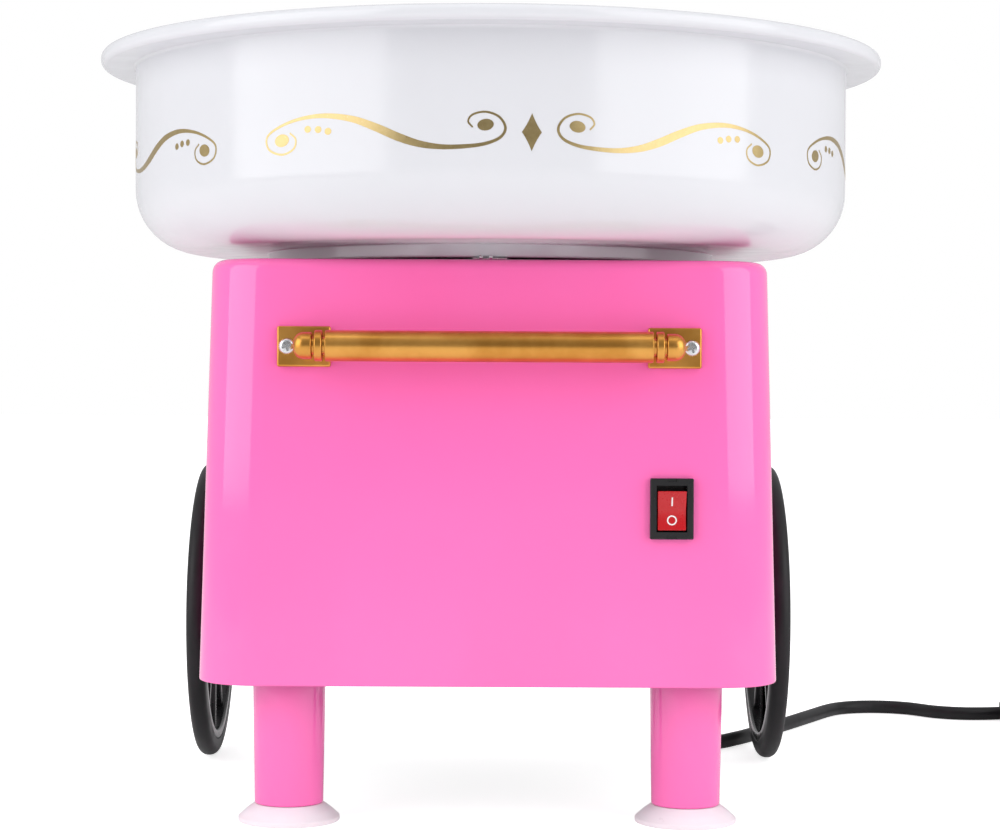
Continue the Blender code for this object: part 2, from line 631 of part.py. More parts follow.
def bowl():
    """The white bowl, which lifts straight off the tray, and the sprung catch that its foot ring clicks over."""
    base, top = BOWL_BASE_Z, BOWL_BASE_Z + BOWL_HEIGHT
    rim = BOWL_RIM_RADIUS
    edge = BOWL_RIM_THICKNESS / 2
    inner = BOWL_RADIUS - BOWL_WALL
    under = top - BOWL_RIM_THICKNESS
    collar_in = TRAY_RADIUS + TRAY_BOWL_CLEARANCE
    collar_out = collar_in + BOWL_WALL
    foot = base - BOWL_FOOT_DROP
    centre = (BOWL_RADIUS - BOWL_CORNER, base + BOWL_CORNER)
    floor, lip = base + BOWL_WALL, base + BOWL_COLLAR_RISE
    profile = [
        (BOWL_RADIUS, top),
        *arc((rim - edge, top - edge), edge, 90, -90, 4),
        (BOWL_RADIUS + 0.0015, under),
        (BOWL_RADIUS, under - 0.0015),
        *arc(centre, BOWL_CORNER, 0, -90, 4),
        (BOWL_FOOT_RADIUS, base), (BOWL_FOOT_RADIUS, foot), (BOWL_FOOT_RADIUS - BOWL_WALL, foot),
        (BOWL_FOOT_RADIUS - BOWL_WALL, base),
        (collar_out, base), (collar_out, BOWL_SEAT_Z), (collar_in, BOWL_SEAT_Z), (collar_in, lip), (collar_out, lip),
        (collar_out, floor + 0.002), (collar_out + 0.002, floor),
        *arc(centre, BOWL_CORNER - BOWL_WALL, -90, 0, 3),
        (inner, top - 0.0016),
    ]
    turned("bowl", profile, WHITE, 36)
    low = (-0.006, -BOWL_FOOT_RADIUS - 0.0015, BODY_TOP_Z + GAP)
    high = (0.006, -BOWL_FOOT_RADIUS + 0.0045, foot - GAP)
    box("bowl_catch", low, high, STEEL, bevel=0.0003)


def spinner():
    """The aluminium head that the motor spins: a cup on a hub, a slotted band and a lid with the sugar mouth."""
    radius, wall = SPINNER_RADIUS, SPINNER_WALL
    base, rim = SPINNER_Z, SPINNER_Z + SPINNER_CUP
    hub = SHAFT_HOLE + 0.0035
    cup = [
        (radius - wall, rim), (radius, rim), (radius, base + 0.004), (radius - 0.004, base), (SHAFT_HOLE, base),
        (SHAFT_HOLE, rim - 0.001), (hub, rim - 0.001), (hub + 0.001, base + wall),
        (radius - 0.004 - wall, base + wall), (radius - wall, base + 0.004 + wall),
    ]
    turned("spinner_head", cup, ALUMINIUM, 20)
    low, high = rim + GAP, rim + SPINNER_BAND
    band_outer = radius - 0.0004
    band = turned("spinner_band", [
        (band_outer - 0.001, high), (band_outer, high), (band_outer, low), (band_outer - 0.001, low)], STEEL, 28)
    width = SPINNER_SLOT_WIDTH / 2
    for i in range(SPINNER_SLOTS):
        turn = Matrix.Rotation(2 * math.pi * (i + 0.5) / SPINNER_SLOTS, 4, "Z")
        corners = (radius - 0.006, -width, low + 0.002), (radius + 0.006, width, high - 0.002)
        cut(band, box(f"slot_{i}", *corners, None, turn))
    seat = high + GAP
    lid = [
        (SPINNER_MOUTH, seat + 0.0055), (SPINNER_MOUTH + 0.0012, seat + 0.0055), (SPINNER_MOUTH + 0.003, seat + 0.0026),
        (radius - 0.002, seat + wall), (radius, seat + 0.0006), (radius, seat), (SPINNER_MOUTH + 0.001, seat),
        (SPINNER_MOUTH, seat + 0.0012),
    ]
    turned("spinner_lid", lid, ALUMINIUM, 20)


def motor():
    """The DC motor hung under the tray on a bent bracket: can, end cap, rotor, shaft, cooling fan and two screws."""
    top, bottom = MOTOR_TOP_Z, MOTOR_TOP_Z - MOTOR_LENGTH
    radius, inner = MOTOR_RADIUS, MOTOR_RADIUS - MOTOR_WALL
    boss = SHAFT_HOLE + 0.003
    can = [
        (SHAFT_HOLE, top + 0.002), (boss, top + 0.002), (boss, top), (radius - 0.002, top), (radius, top - 0.002),
        (radius, bottom), (inner, bottom), (inner, top - MOTOR_WALL), (SHAFT_HOLE, top - MOTOR_WALL),
    ]
    motor_can = turned("motor_can", can, STEEL, 16)
    cap = [
        (SHAFT_HOLE, bottom + 0.002), (inner - CLEARANCE, bottom + 0.002), (inner - CLEARANCE, bottom - GAP),
        (radius, bottom - GAP), (radius, bottom - 0.003), (boss, bottom - 0.006), (SHAFT_HOLE, bottom - 0.006),
    ]
    turned("motor_end_cap", cap, BLACK, 16)
    rotor_top, rotor_bottom = top - 0.009, bottom + 0.012
    rotor = [
        (SHAFT_HOLE, rotor_top), (ROTOR_RADIUS, rotor_top), (ROTOR_RADIUS, rotor_bottom),
        (0.006, rotor_bottom), (0.006, rotor_bottom - 0.007), (SHAFT_HOLE, rotor_bottom - 0.007),
    ]
    turned("motor_rotor", rotor, COPPER, 16)
    shaft_top = SPINNER_Z + SPINNER_CUP - 0.002
    shaft = [
        (0, shaft_top), (SHAFT_RADIUS - 0.0006, shaft_top), (SHAFT_RADIUS, shaft_top - 0.0008),
        (SHAFT_RADIUS, shaft_top - SHAFT_LENGTH), (0, shaft_top - SHAFT_LENGTH),
    ]
    turned("motor_shaft", shaft, STEEL, 12)
    fan_z = shaft_top - SHAFT_LENGTH + 0.0015
    hub = [(SHAFT_HOLE, fan_z + 0.009), (0.007, fan_z + 0.009), (0.007, fan_z), (SHAFT_HOLE, fan_z)]
    fan = turned("motor_fan", hub, BLACK, 14)
    for i in range(FAN_BLADES):
        pitch = Matrix.Translation((0, 0, fan_z + 0.0045)) @ Matrix.Rotation(math.radians(32), 4, "X")
        turn = Matrix.Rotation(2 * math.pi * i / FAN_BLADES, 4, "Z") @ pitch
        join(fan, box(f"blade_{i}", (0.006, -0.0045, -0.0006), (FAN_RADIUS, 0.0045, 0.0006), None, turn))

    # the bracket's section runs out along the body's top, down beside the tray and across over the motor
    plate, under = top + 2 * GAP + BRACKET_THICKNESS, BODY_TOP_Z - BODY_WALL - GAP
    leg, out, t = TRAY_RADIUS + 0.006, TRAY_FLANGE_RADIUS + 0.001, BRACKET_THICKNESS
    half = [(leg, plate - t), (leg, under - t), (out, under - t), (out, under), (leg - t, under), (leg - t, plate)]
    section = half + [(-x, z) for x, z in reversed(half)]
    upright = Matrix.Rotation(math.pi / 2, 4, "X")
    bracket = slab("motor_bracket", section, BRACKET_WIDTH, STEEL, upright)
    cut(bracket, rod("boss_hole", boss + CLEARANCE, top - 0.01, top + 0.01, None, sides=20))
    cut(bracket, *tray_screw_holes())
    for name, x in (("left", -MOTOR_RADIUS * 0.6), ("right", MOTOR_RADIUS * 0.6)):
        place = Matrix.Translation((x, 0, 0))
        hole = rod(f"motor_hole_{name}", SCREW_RADIUS + CLEARANCE, top - 0.006, top + 0.01, None, place, 10)
        cut(bracket, hole)
        cut(motor_can, hole)
        screw(f"motor_screw_{name}", 0.006, Matrix.Translation((x, 0, plate)))


def electrics():
    """The rectifier board that feeds the motor, on four posts, and the terminal block for the mains wires."""
    floor = BASE_TOP_Z + GAP
    board = box("rectifier_board", (-0.072, 0.012, floor + 0.005), (-0.034, 0.046, floor + 0.0066), BOARD)
    for i, (x, y) in enumerate(((-0.069, 0.015), (-0.069, 0.043), (-0.037, 0.015), (-0.037, 0.043))):
        join(board, rod(f"post_{i}", 0.002, floor, floor + 0.006, None, Matrix.Translation((x, y, 0)), 8))
    join(board, box("bridge", (-0.065, 0.020, floor + 0.006), (-0.047, 0.024, floor + 0.020), None))
    join(board, rod("capacitor", 0.005, floor + 0.006, floor + 0.021, None, Matrix.Translation((-0.046, 0.036, 0)), 14))
    block = box("terminal_block", (0.030, 0.030, floor), (0.062, 0.042, floor + 0.011), WHITE, bevel=0.0008)
    for i in range(3):
        x = 0.0375 + 0.0085 * i
        cut(block, rod(f"terminal_{i}", 0.0024, floor + 0.004, floor + 0.02, None, Matrix.Translation((x, 0.036, 0)), 10))


def lead():
    """The mains lead: strain relief, the free stretch, the tied coil and the two-blade plug."""
    place = Matrix.Translation((RELIEF_X, RELIEF_Y, 0))
    under, floor = BODY_BASE_Z - GAP, BASE_TOP_Z + GAP
    end = under - RELIEF_LENGTH
    relief = [
        (0, floor + 0.002), (RELIEF_NECK + 0.0012, floor + 0.002), (RELIEF_NECK + 0.0012, floor), (RELIEF_NECK, floor),
        (RELIEF_NECK, under), (RELIEF_NECK + 0.002, under), (RELIEF_NECK + 0.002, under - 0.002),
        (RELIEF_NECK, under - 0.0035), (CORD_RADIUS + 0.0009, end), (0, end),
    ]
    turned("strain_relief", relief, RUBBER, 14, place)
    # the route is drawn for one height of the strain relief's end, and its drop follows the real one
    drop = (end - GAP - CORD_RADIUS) / (CORD_ROUTE[0][2] - CORD_RADIUS)
    route = [(x, y, CORD_RADIUS + drop * (z - CORD_RADIUS)) for x, y, z in CORD_ROUTE]
    tube("power_cord", smooth_line(route, 2), CORD_RADIUS, RUBBER)

    middle = Matrix.Translation((*COIL_CENTRE, 0))
    half = COIL_THICKNESS / 2
    low = TIE_THICKNESS + GAP
    mid, edge = low + half, 0.0028
    section = [
        (COIL_RADIUS + half - edge, mid + half), (COIL_RADIUS + half, mid + half - edge),
        (COIL_RADIUS + half, mid - half + edge), (COIL_RADIUS + half - edge, mid - half),
        (COIL_RADIUS - half + edge, mid - half), (COIL_RADIUS - half, mid - half + edge),
        (COIL_RADIUS - half, mid + half - edge), (COIL_RADIUS - half + edge, mid + half),
    ]
    turned("cord_coil", section, RUBBER, 24, middle)
    # at its width the tie is a straight band, so it stands clear of the ring's curve
    inner = half + GAP + 0.0003
    outer = inner + TIE_THICKNESS
    across = middle @ Matrix.Rotation(math.radians(-70), 4, "Z") @ Matrix.Translation((COIL_RADIUS, 0, mid))
    y = TIE_WIDTH / 2
    tie = box("cord_tie", (-outer, -y, -mid), (outer, y, outer), TIE_WHITE, across)
    cut(tie, box("tie_inside", (-inner, -2 * y, TIE_THICKNESS - mid), (inner, 2 * y, inner), None, across))

    x, y = COIL_CENTRE[0] + COIL_RADIUS + CORD_RADIUS, COIL_CENTRE[1] - 0.0247
    height = 0.0065
    back = Matrix.Translation((x, y, height)) @ Matrix.Rotation(math.pi / 2, 4, "X")
    neck = [(0, 0.015), (0.0056, 0.015), (CORD_RADIUS + 0.0009, 0), (0, 0)]
    plug = box("plug_body", (-0.0115, -height, 0.014), (0.0115, height, 0.038), RUBBER, back, bevel=0.0022, segments=2)
    join(plug, turned("plug_neck", neck, None, 12, back))
    for side, name in ((-1, "left"), (1, "right")):
        pin = side * 0.00635
        low, high = (pin - 0.00075, -0.0031, 0.038 + GAP), (pin + 0.00075, 0.0031, 0.055)
        box(f"plug_blade_{name}", low, high, BRASS, back)


for leftover in list(bpy.data.objects):
    bpy.data.objects.remove(leftover)
MACHINE = collection("cotton_candy_machine")
CUTTERS = collection("cutters")
PINK = finish("pink_plastic", (0.91, 0.15, 0.45), 0.22)
WHITE = finish("white_plastic", (0.90, 0.90, 0.90), 0.22)
DARK = finish("dark_plastic", (0.05, 0.05, 0.055), 0.5)
BLACK = finish("black_plastic", (0.012, 0.012, 0.013), 0.3)
RED = finish("red_plastic", (0.75, 0.02, 0.02), 0.3)
RUBBER = finish("black_rubber", (0.015, 0.015, 0.016), 0.6)
CLEAR_RUBBER = finish("milky_rubber", (0.85, 0.85, 0.85), 0.35)
GOLD = finish("gold_plating", (0.85, 0.60, 0.28), 0.25, 1.0)
STEEL = finish("bright_steel", (0.70, 0.70, 0.70), 0.25, 1.0)
ALUMINIUM = finish("aluminium", (0.80, 0.81, 0.82), 0.3, 1.0)
IRON = finish("dark_element_sheath", (0.16, 0.15, 0.14), 0.55, 0.8)
COPPER = finish("copper_winding", (0.72, 0.35, 0.18), 0.35, 1.0)
CERAMIC = finish("ceramic", (0.88, 0.86, 0.80), 0.5)
BOARD = finish("circuit_board", (0.10, 0.28, 0.12), 0.5)
BRASS = finish("brass_blade", (0.80, 0.68, 0.40), 0.3, 1.0)
TIE_WHITE = finish("tie_plastic", (0.85, 0.85, 0.86), 0.5)

body()
base()
legs()
wheels()
handle()
switch()
heater()
bowl()
spinner()
motor()
electrics()
lead()

for piece in MACHINE.objects:
    if piece.type == "MESH" and piece.data.polygons:
        piece.data.shade_smooth()
        piece.data.set_sharp_from_angle(angle=math.radians(35))
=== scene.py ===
import json
import math

import bpy
from mathutils import Matrix, Vector

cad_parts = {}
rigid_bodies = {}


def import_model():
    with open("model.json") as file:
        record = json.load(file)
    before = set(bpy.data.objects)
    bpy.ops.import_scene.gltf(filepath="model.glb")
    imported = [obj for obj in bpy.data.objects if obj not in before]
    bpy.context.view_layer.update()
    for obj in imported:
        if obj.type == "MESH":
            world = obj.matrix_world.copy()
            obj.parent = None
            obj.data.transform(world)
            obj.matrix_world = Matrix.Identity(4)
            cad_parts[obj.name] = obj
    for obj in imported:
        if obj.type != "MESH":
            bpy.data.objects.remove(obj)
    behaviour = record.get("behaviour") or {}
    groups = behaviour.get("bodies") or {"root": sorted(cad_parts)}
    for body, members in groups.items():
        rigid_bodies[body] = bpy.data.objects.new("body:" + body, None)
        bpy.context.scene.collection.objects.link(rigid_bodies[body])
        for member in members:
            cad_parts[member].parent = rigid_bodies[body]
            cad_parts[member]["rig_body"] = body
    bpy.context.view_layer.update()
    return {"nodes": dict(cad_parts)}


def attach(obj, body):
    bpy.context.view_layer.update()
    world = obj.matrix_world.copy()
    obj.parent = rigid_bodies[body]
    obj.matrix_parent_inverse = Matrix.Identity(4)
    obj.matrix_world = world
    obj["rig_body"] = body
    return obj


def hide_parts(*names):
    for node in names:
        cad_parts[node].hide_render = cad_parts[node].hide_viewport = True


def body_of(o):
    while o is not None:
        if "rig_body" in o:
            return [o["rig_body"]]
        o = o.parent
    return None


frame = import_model()


# Camera, light and floor. A long lens looks level at the machine's front from just under the bowl,
# between two tall soft boxes, in a white room.
bpy.ops.object.camera_add(
    location=(0.0013, -0.9134, 0.15725),
    rotation=(math.radians(88.998), math.radians(-0.298), math.radians(-0.167)),
)
camera = bpy.context.object
camera.data.sensor_width = 36
camera.data.lens = 85.65
camera.data.clip_start = 0.01
bpy.context.scene.camera = camera
bpy.context.scene.view_settings.view_transform = "Standard"


class Value:
    """One output in a node graph. A sum, product or power of values adds a Math node to the graph."""

    def __init__(self, tree, output):
        self.tree, self.output = tree, output

    def node(self, kind, settings=None, inputs=None, output=0):
        """A new node of this kind: its settings first, then its inputs, as plain values or as links."""
        made = self.tree.nodes.new(kind)
        for name, setting in (settings or {}).items():
            setattr(made, name, setting)
        for name, value in (inputs or {}).items():
            if isinstance(value, Value):
                self.tree.links.new(value.output, made.inputs[name])
            else:
                made.inputs[name].default_value = value
        return Value(self.tree, made.outputs[output])

    def math(self, operation, *terms):
        return self.node("ShaderNodeMath", {"operation": operation}, dict(enumerate(terms)))

    def __add__(self, other):
        return self.math("ADD", self, other)

    def __mul__(self, other):
        return self.math("MULTIPLY", self, other)

    def __pow__(self, other):
        return self.math("POWER", self, other)

    __radd__ = __add__
    __rmul__ = __mul__

    def sine(self):
        return self.math("SINE", self)

    def part(self, axis):
        """The x, y or z of a vector, as 0, 1 or 2."""
        return self.node("ShaderNodeSeparateXYZ", None, {0: self}, axis)

    def scaled(self, x, y, z):
        return self.node("ShaderNodeVectorMath", {"operation": "MULTIPLY"}, {0: self, 1: (x, y, z)})

    def noise(self, scale, detail=2.0, roughness=0.5):
        sizes = {"Vector": self, "Scale": scale, "Detail": detail, "Roughness": roughness}
        return self.node("ShaderNodeTexNoise", None, sizes)

    def ramp(self, low, high):
        """0 below low and 1 above high, with a smooth turn between."""
        ends = {"Value": self, "From Min": low, "From Max": high}
        return self.node("ShaderNodeMapRange", {"interpolation_type": "SMOOTHSTEP"}, ends)

    def mix(self, a, b):
        """Colour a where this value is 0, and b where it is 1."""
        ends = [c if isinstance(c, Value) else (*c, 1) for c in (a, b)]
        return self.node("ShaderNodeMix", {"data_type": "RGBA"}, {0: self, 6: ends[0], 7: ends[1]}, 2)

    def bump(self, depth):
        """A normal from this value as a height, where 1 stands depth metres above 0."""
        return self.node("ShaderNodeBump", None, {"Height": self, "Distance": depth})


def skin(name, recipe):
    """A material whose Principled shader takes what the recipe makes of the Object coordinates."""
    plain = bpy.data.materials.get(name)
    if plain:
        plain.name = name + "_cad"
    made = bpy.data.materials.new(name)
    made.use_nodes = True
    tree = made.node_tree
    shader = tree.nodes["Principled BSDF"]
    place = Value(tree, tree.nodes.new("ShaderNodeTexCoord").outputs["Object"])
    for key, value in recipe(place).items():
        if isinstance(value, Value):
            tree.links.new(value.output, shader.inputs[key])
        else:
            shader.inputs[key].default_value = value
    return made


def studio_floor(place):
    """A lit table: matt white acrylic, a little uneven."""
    uneven = place.noise(9)
    seen = place.node("ShaderNodeLightPath")
    return {
        "Base Color": uneven.mix((0.90, 0.90, 0.90), (0.94, 0.94, 0.94)),
        "Roughness": 0.75 + 0.1 * uneven,
        "Emission Color": seen.mix((0.20, 0.20, 0.20), (1, 1, 1)),
        "Emission Strength": 0.74,
    }


bpy.ops.mesh.primitive_plane_add(size=16)
floor = bpy.context.object
floor.name = "floor"
floor.data.materials.append(skin("studio_floor", studio_floor))

for name, azimuth, reach, height, aim_height, width, length, power in (
    ("softbox_left", -56.5, 1.25, 0.732, 0.632, 1.25, 1.25, 10.2),
    ("softbox_right", 57, 1.25, 0.732, 0.632, 1.25, 1.25, 10.2),
    ("softbox_top", 0, 0.35, 1.60, 0.16, 1.40, 0.90, 4.0),
):
    turn = math.radians(azimuth)
    spot = Vector((reach * math.sin(turn), -reach * math.cos(turn), height))
    aim = Vector((0, 0, aim_height)) - spot
    bpy.ops.object.light_add(type="AREA", location=spot, rotation=aim.to_track_quat("-Z", "Y").to_euler())
    lamp = bpy.context.object
    lamp.name = name
    lamp.data.shape = "RECTANGLE"
    lamp.data.size, lamp.data.size_y = width, length
    lamp.data.energy = power

world = bpy.data.worlds.new("room")
world.use_nodes = True
bpy.context.scene.world = world
room = world.node_tree
sky = room.nodes["Background"]
direction = Value(room, room.nodes.new("ShaderNodeTexCoord").outputs["Generated"])
behind = (-1.0 * direction.part(1)).ramp(0.35, 0.98)
seen = Value(room, room.nodes.new("ShaderNodeLightPath").outputs["Is Camera Ray"])
lit = behind.mix((0.64, 0.64, 0.65), (0.28, 0.28, 0.29))
room.links.new(seen.mix(lit, (1, 1, 1)).output, sky.inputs["Color"])


# Base plate and what stands on it: a dark moulded plate slotted for the fan's air, the rectifier
# board on its four posts and the terminal block. Four screws hold the plate up to the body's bosses.
def moulded(tint, gloss, peel=0.000004, mottle=0.04):
    """Injection-moulded plastic: faint flow mottle, gloss made uneven by handling and a fine orange peel."""

    def recipe(place):
        flow = place.scaled(1, 1, 0.4).noise(26, 3)
        worn = place.noise(70, 4, 0.6)
        fine = place.noise(1500, 2) + 0.5 * place.noise(380, 1)
        dark = tuple(c * (1 - mottle) for c in tint)
        return {
            "Base Color": flow.ramp(0.3, 0.7).mix(dark, tint),
            "Roughness": gloss + 0.06 * worn.ramp(0.35, 0.75) + 0.02 * fine,
            "IOR": 1.5,
            "Normal": fine.bump(peel),
        }

    return recipe


def board_face(place):
    """Green lacquer over copper tracks, tinned at the pads."""
    across, along = place.part(0), place.part(1)
    track = (across * 1500).sine() * (along * 700 + 1).sine()
    copper = track.ramp(0.30, 0.42)
    grain = place.noise(2500, 2)
    return {
        "Base Color": copper.mix((0.025, 0.17, 0.06), (0.06, 0.32, 0.12)),
        "Roughness": 0.28 + 0.12 * grain,
        "Normal": (copper + 0.2 * grain).bump(0.00003),
    }


def steel_face(place):
    """Zinc-plated steel: a cool crystalline mottle under fine rubbing marks."""
    flake = place.noise(420, 3, 0.65)
    rub = place.scaled(1, 1, 14).noise(260, 2)
    return {
        "Base Color": flake.mix((0.56, 0.57, 0.58), (0.76, 0.77, 0.78)),
        "Metallic": 1.0,
        "Roughness": 0.17 + 0.12 * flake + 0.07 * rub,
        "Normal": (flake + rub).bump(0.000004),
    }


dark_plastic = skin("dark_plastic", moulded((0.045, 0.045, 0.050), 0.46, 0.00001))
white_plastic = skin("white_plastic", moulded((0.68, 0.685, 0.715), 0.12, 0.0000025, 0.012))
board = skin("board", board_face)
steel = skin("steel", steel_face)


def carry(material, *nodes):
    """These CAD nodes are shown as they are, in this material."""
    for name in nodes:
        node = frame["nodes"][name]
        node.data.materials.clear()
        node.data.materials.append(material)


carry(dark_plastic, "base_plate")
carry(board, "rectifier_board")
carry(white_plastic, "terminal_block")


def only(*pieces):
    """Selects these pieces alone, and makes the first of them active."""
    bpy.ops.object.select_all(action="DESELECT")
    for piece in reversed(pieces):
        piece.select_set(True)
        bpy.context.view_layer.objects.active = piece


def rounded(corners, parts):
    """The outline through corners (x, z, rounding), where a corner with a rounding turns as an arc."""
    path = []
    for i, (x, z, rounding) in enumerate(corners):
        here = Vector((x, z))
        if not rounding:
            path.append(here)
            continue
        back = (Vector(corners[i - 1][:2]) - here).normalized()
        on = (Vector(corners[(i + 1) % len(corners)][:2]) - here).normalized()
        half = back.angle(on) / 2
        centre = here + (back + on).normalized() * rounding / math.sin(half)
        reach = rounding / math.tan(half)
        start, end = (here + back * reach - centre).normalized(), (here + on * reach - centre).normalized()
        path += [centre + rounding * start.slerp(end, k / parts) for k in range(parts + 1)]
    return path


def draw(name, path, closed):
    """Draws one point out along the path in the XZ plane, and stays in edit mode with the line selected."""
    bpy.ops.mesh.primitive_plane_add(size=0.001)
    bpy.context.object.name = name
    bpy.ops.object.mode_set(mode="EDIT")
    bpy.ops.mesh.select_mode(type="VERT")
    bpy.ops.mesh.select_all(action="SELECT")
    bpy.ops.mesh.merge(type="CENTER")
    bpy.ops.transform.translate(value=(path[0].x, 0, path[0].y))
    for a, b in zip(path, [*path[1:], path[0]] if closed else path[1:]):
        bpy.ops.mesh.extrude_region_move(TRANSFORM_OT_translate={"value": (b.x - a.x, 0, b.y - a.y)})
    bpy.ops.mesh.select_all(action="SELECT")
    bpy.ops.mesh.remove_doubles(threshold=1e-7)
    return bpy.context.object


def lathe(name, corners, steps=64, parts=5):
    """A body of revolution about Z. An outline that starts off the axis closes on itself."""
    made = draw(name, rounded(corners, parts), corners[0][0] > 0)
    bpy.ops.mesh.spin(steps=steps, angle=2 * math.pi, center=(0, 0, 0), axis=(0, 0, 1))
    bpy.ops.mesh.select_all(action="SELECT")
    bpy.ops.mesh.remove_doubles(threshold=1e-6)
    bpy.ops.mesh.normals_make_consistent(inside=False)
    bpy.ops.object.mode_set(mode="OBJECT")
    return made


def cuboid(name, low, high, bevel=0.0, segments=3):
    """A box between two corners, its edges rounded."""
    low, high = Vector(low), Vector(high)
    bpy.ops.mesh.primitive_cube_add(size=1, location=(low + high) / 2, scale=high - low)
    made = bpy.context.object
    made.name = name
    bpy.ops.object.transform_apply(location=True, rotation=True, scale=True)
    if bevel:
        bpy.ops.object.mode_set(mode="EDIT")
        bpy.ops.mesh.select_all(action="SELECT")
        bpy.ops.mesh.bevel(offset=bevel, segments=segments, profile=0.5, affect="EDGES")
        bpy.ops.object.mode_set(mode="OBJECT")
    return made


def moved(piece, place):
    """The piece at this place, which goes into its mesh."""
    only(piece)
    piece.matrix_world = place @ piece.matrix_world
    bpy.ops.object.transform_apply(location=True, rotation=True, scale=True)
    return piece


def copied(piece, name, place=Matrix()):
    """A copy with its own mesh, moved to another place."""
    only(piece)
    bpy.ops.object.duplicate()
    made = bpy.context.object
    made.name = name
    return moved(made, place)


def joined(name, pieces):
    """Several shapes as one piece."""
    only(*pieces)
    bpy.ops.object.join()
    bpy.context.object.name = name
    return bpy.context.object


def applied(piece, kind, **settings):
    """Gives the piece a modifier and applies it."""
    only(piece)
    modifier = piece.modifiers.new(kind.lower(), kind)
    for name, setting in settings.items():
        setattr(modifier, name, setting)
    bpy.ops.object.modifier_apply(modifier=modifier.name)
    return piece


def carve(piece, *cutters, operation="DIFFERENCE"):
    """Cuts shapes out of the piece, or adds them to it, and clears them away."""
    for cutter in cutters:
        applied(piece, "BOOLEAN", object=cutter, operation=operation, solver="EXACT")
        bpy.data.objects.remove(cutter)
    return piece


def settle(piece, body, material, *nodes, angle=32, flats=False):
    """Finishes a piece: smooth but for its creases, in its material, on its body, in place of CAD nodes."""
    only(piece)
    bpy.ops.object.shade_smooth_by_angle(angle=math.radians(angle))
    if flats:
        applied(piece, "WEIGHTED_NORMAL", keep_sharp=True)
    piece.data.materials.clear()
    piece.data.materials.append(material)
    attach(piece, body)
    if nodes:
        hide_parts(*nodes)
    return piece


THREAD_PITCH = 0.0007


def screw(name, length, head=0.0028):
    """A pan-head screw along Z with its seat at zero, a cross recess in its head, and its thread below."""
    top = [(0, 0.0017, 0), (head * 0.86, 0.0015, 0.0013), (head, 0, 0), (0.0013, 0, 0)]
    tip = [(0.0013, -length + 0.0012, 0), (0, -length, 0)]
    thread = []
    for i in range(int((length - 0.0022) / THREAD_PITCH)):
        z = -0.001 - THREAD_PITCH * i
        thread += [(0.0012, z, 0), (0.0015, z - 0.0003, 0)]
    made = lathe(name, [*top, *thread, *tip], 28, 4)
    for turn in (0, math.pi / 2):
        bar = cuboid("recess", (-0.0017, -0.0004, 0.0005), (0.0017, 0.0004, 0.004))
        carve(made, moved(bar, Matrix.Rotation(turn + 0.3, 4, "Z")))
    return made


def at(x, y, z):
    return Matrix.Translation((x, y, z))


UNDER_PLATE, ABOVE_PLATE = 0.0497, 0.0533
BOSSES = [(x, y) for x in (-0.0863, 0.0863) for y in (-0.055, 0.055)]
over = Matrix.Rotation(math.pi, 4, "X")
first_base_screw = screw("base_screw_1_driven", 0.0120)
for i, (x, y) in enumerate(BOSSES):
    name = f"base_screw_{i + 1}"
    driven = copied(first_base_screw, name + "_cross", at(x, y, UNDER_PLATE) @ over)
    settle(driven, "root", steel, name)
bpy.data.objects.remove(first_base_screw)


# Body: one glossy pink moulding, a tapered box with rounded corners, open below. The tray, switch,
# handle and axle pass through it, and four tubes inside take the base plate's screws.
BODY_LOW, BODY_TOP = 0.050, 0.1975
BODY_HEIGHT = 0.1475
BODY_HALF_X, BODY_HALF_Y = 0.1018, 0.096
TAPER_X, TAPER_Y = 0.004, 0.0025
SHELL_WALL = 0.0025
SCREW_HOLE = 0.0019
TRAY_SCREW_X = 0.0545
HANDLE_Z, PLATE_SCREW_X = 0.167, 0.0695
WHEEL_RADIUS = 0.0603
AXLE = at(0, 0.073, WHEEL_RADIUS)
FACE_TILT = math.atan2(TAPER_Y, BODY_HEIGHT)


def on_front(x, z):
    """A frame on the sloping front face: local -Y points out of it, and local Z up it."""
    y = TAPER_Y * (z - BODY_LOW) / BODY_HEIGHT - BODY_HALF_Y
    return at(x, y, z) @ Matrix.Rotation(-FACE_TILT, 4, "X")


def pick(piece, kind, test):
    """Opens the piece in edit mode, with the edges or faces selected that pass the test."""
    only(piece)
    bpy.ops.object.mode_set(mode="EDIT")
    bpy.ops.mesh.select_mode(type=kind)
    bpy.ops.mesh.select_all(action="DESELECT")
    bpy.ops.object.mode_set(mode="OBJECT")
    corners = piece.data.vertices
    if kind == "FACE":
        for face in piece.data.polygons:
            face.select = test(face.center, face.normal)
    else:
        for edge in piece.data.edges:
            a, b = (corners[i].co for i in edge.vertices)
            edge.select = test((a + b) / 2, (b - a).normalized())
    bpy.ops.object.mode_set(mode="EDIT")


def bevelled(piece, kind, test, width, segments):
    """Rounds the picked edges, or the edges of the picked faces."""
    pick(piece, kind, test)
    bpy.ops.mesh.bevel(offset=width, segments=segments, profile=0.5, affect="EDGES")
    bpy.ops.object.mode_set(mode="OBJECT")


def pink_face(place):
    """Glossy pink polystyrene with painted light and shade: paler towards the foot, where light from the floor
    falls, and deeper towards the top, under the bowl; with a fine peel and faint rubbing.
    """
    flow = place.scaled(1, 1, 0.35).noise(17, 3)
    # Painted light and shade by height: 0 at the foot, which is painted paler, and 1 at the top, which is
    # painted deeper, under the bowl.
    low = place.part(2).ramp(0.045, 0.205)
    fine = place.noise(1300, 2) + 0.6 * place.noise(300, 1)
    rub = place.scaled(0.5, 0.5, 1).noise(95, 4, 0.65)
    # Painted light and shade: the paler pink low down and the deeper pink high up stand in for how light falls
    # on the body.
    tint = low.mix((1.0, 0.175, 0.510), (1.0, 0.150, 0.460))
    return {
        "Base Color": flow.ramp(0.3, 0.7).mix(tint, (1.0, 0.165, 0.485)),
        "Roughness": 0.07 + 0.05 * rub.ramp(0.4, 0.8) + 0.01 * fine,
        "IOR": 1.52,
        "Normal": fine.bump(0.0000025),
    }


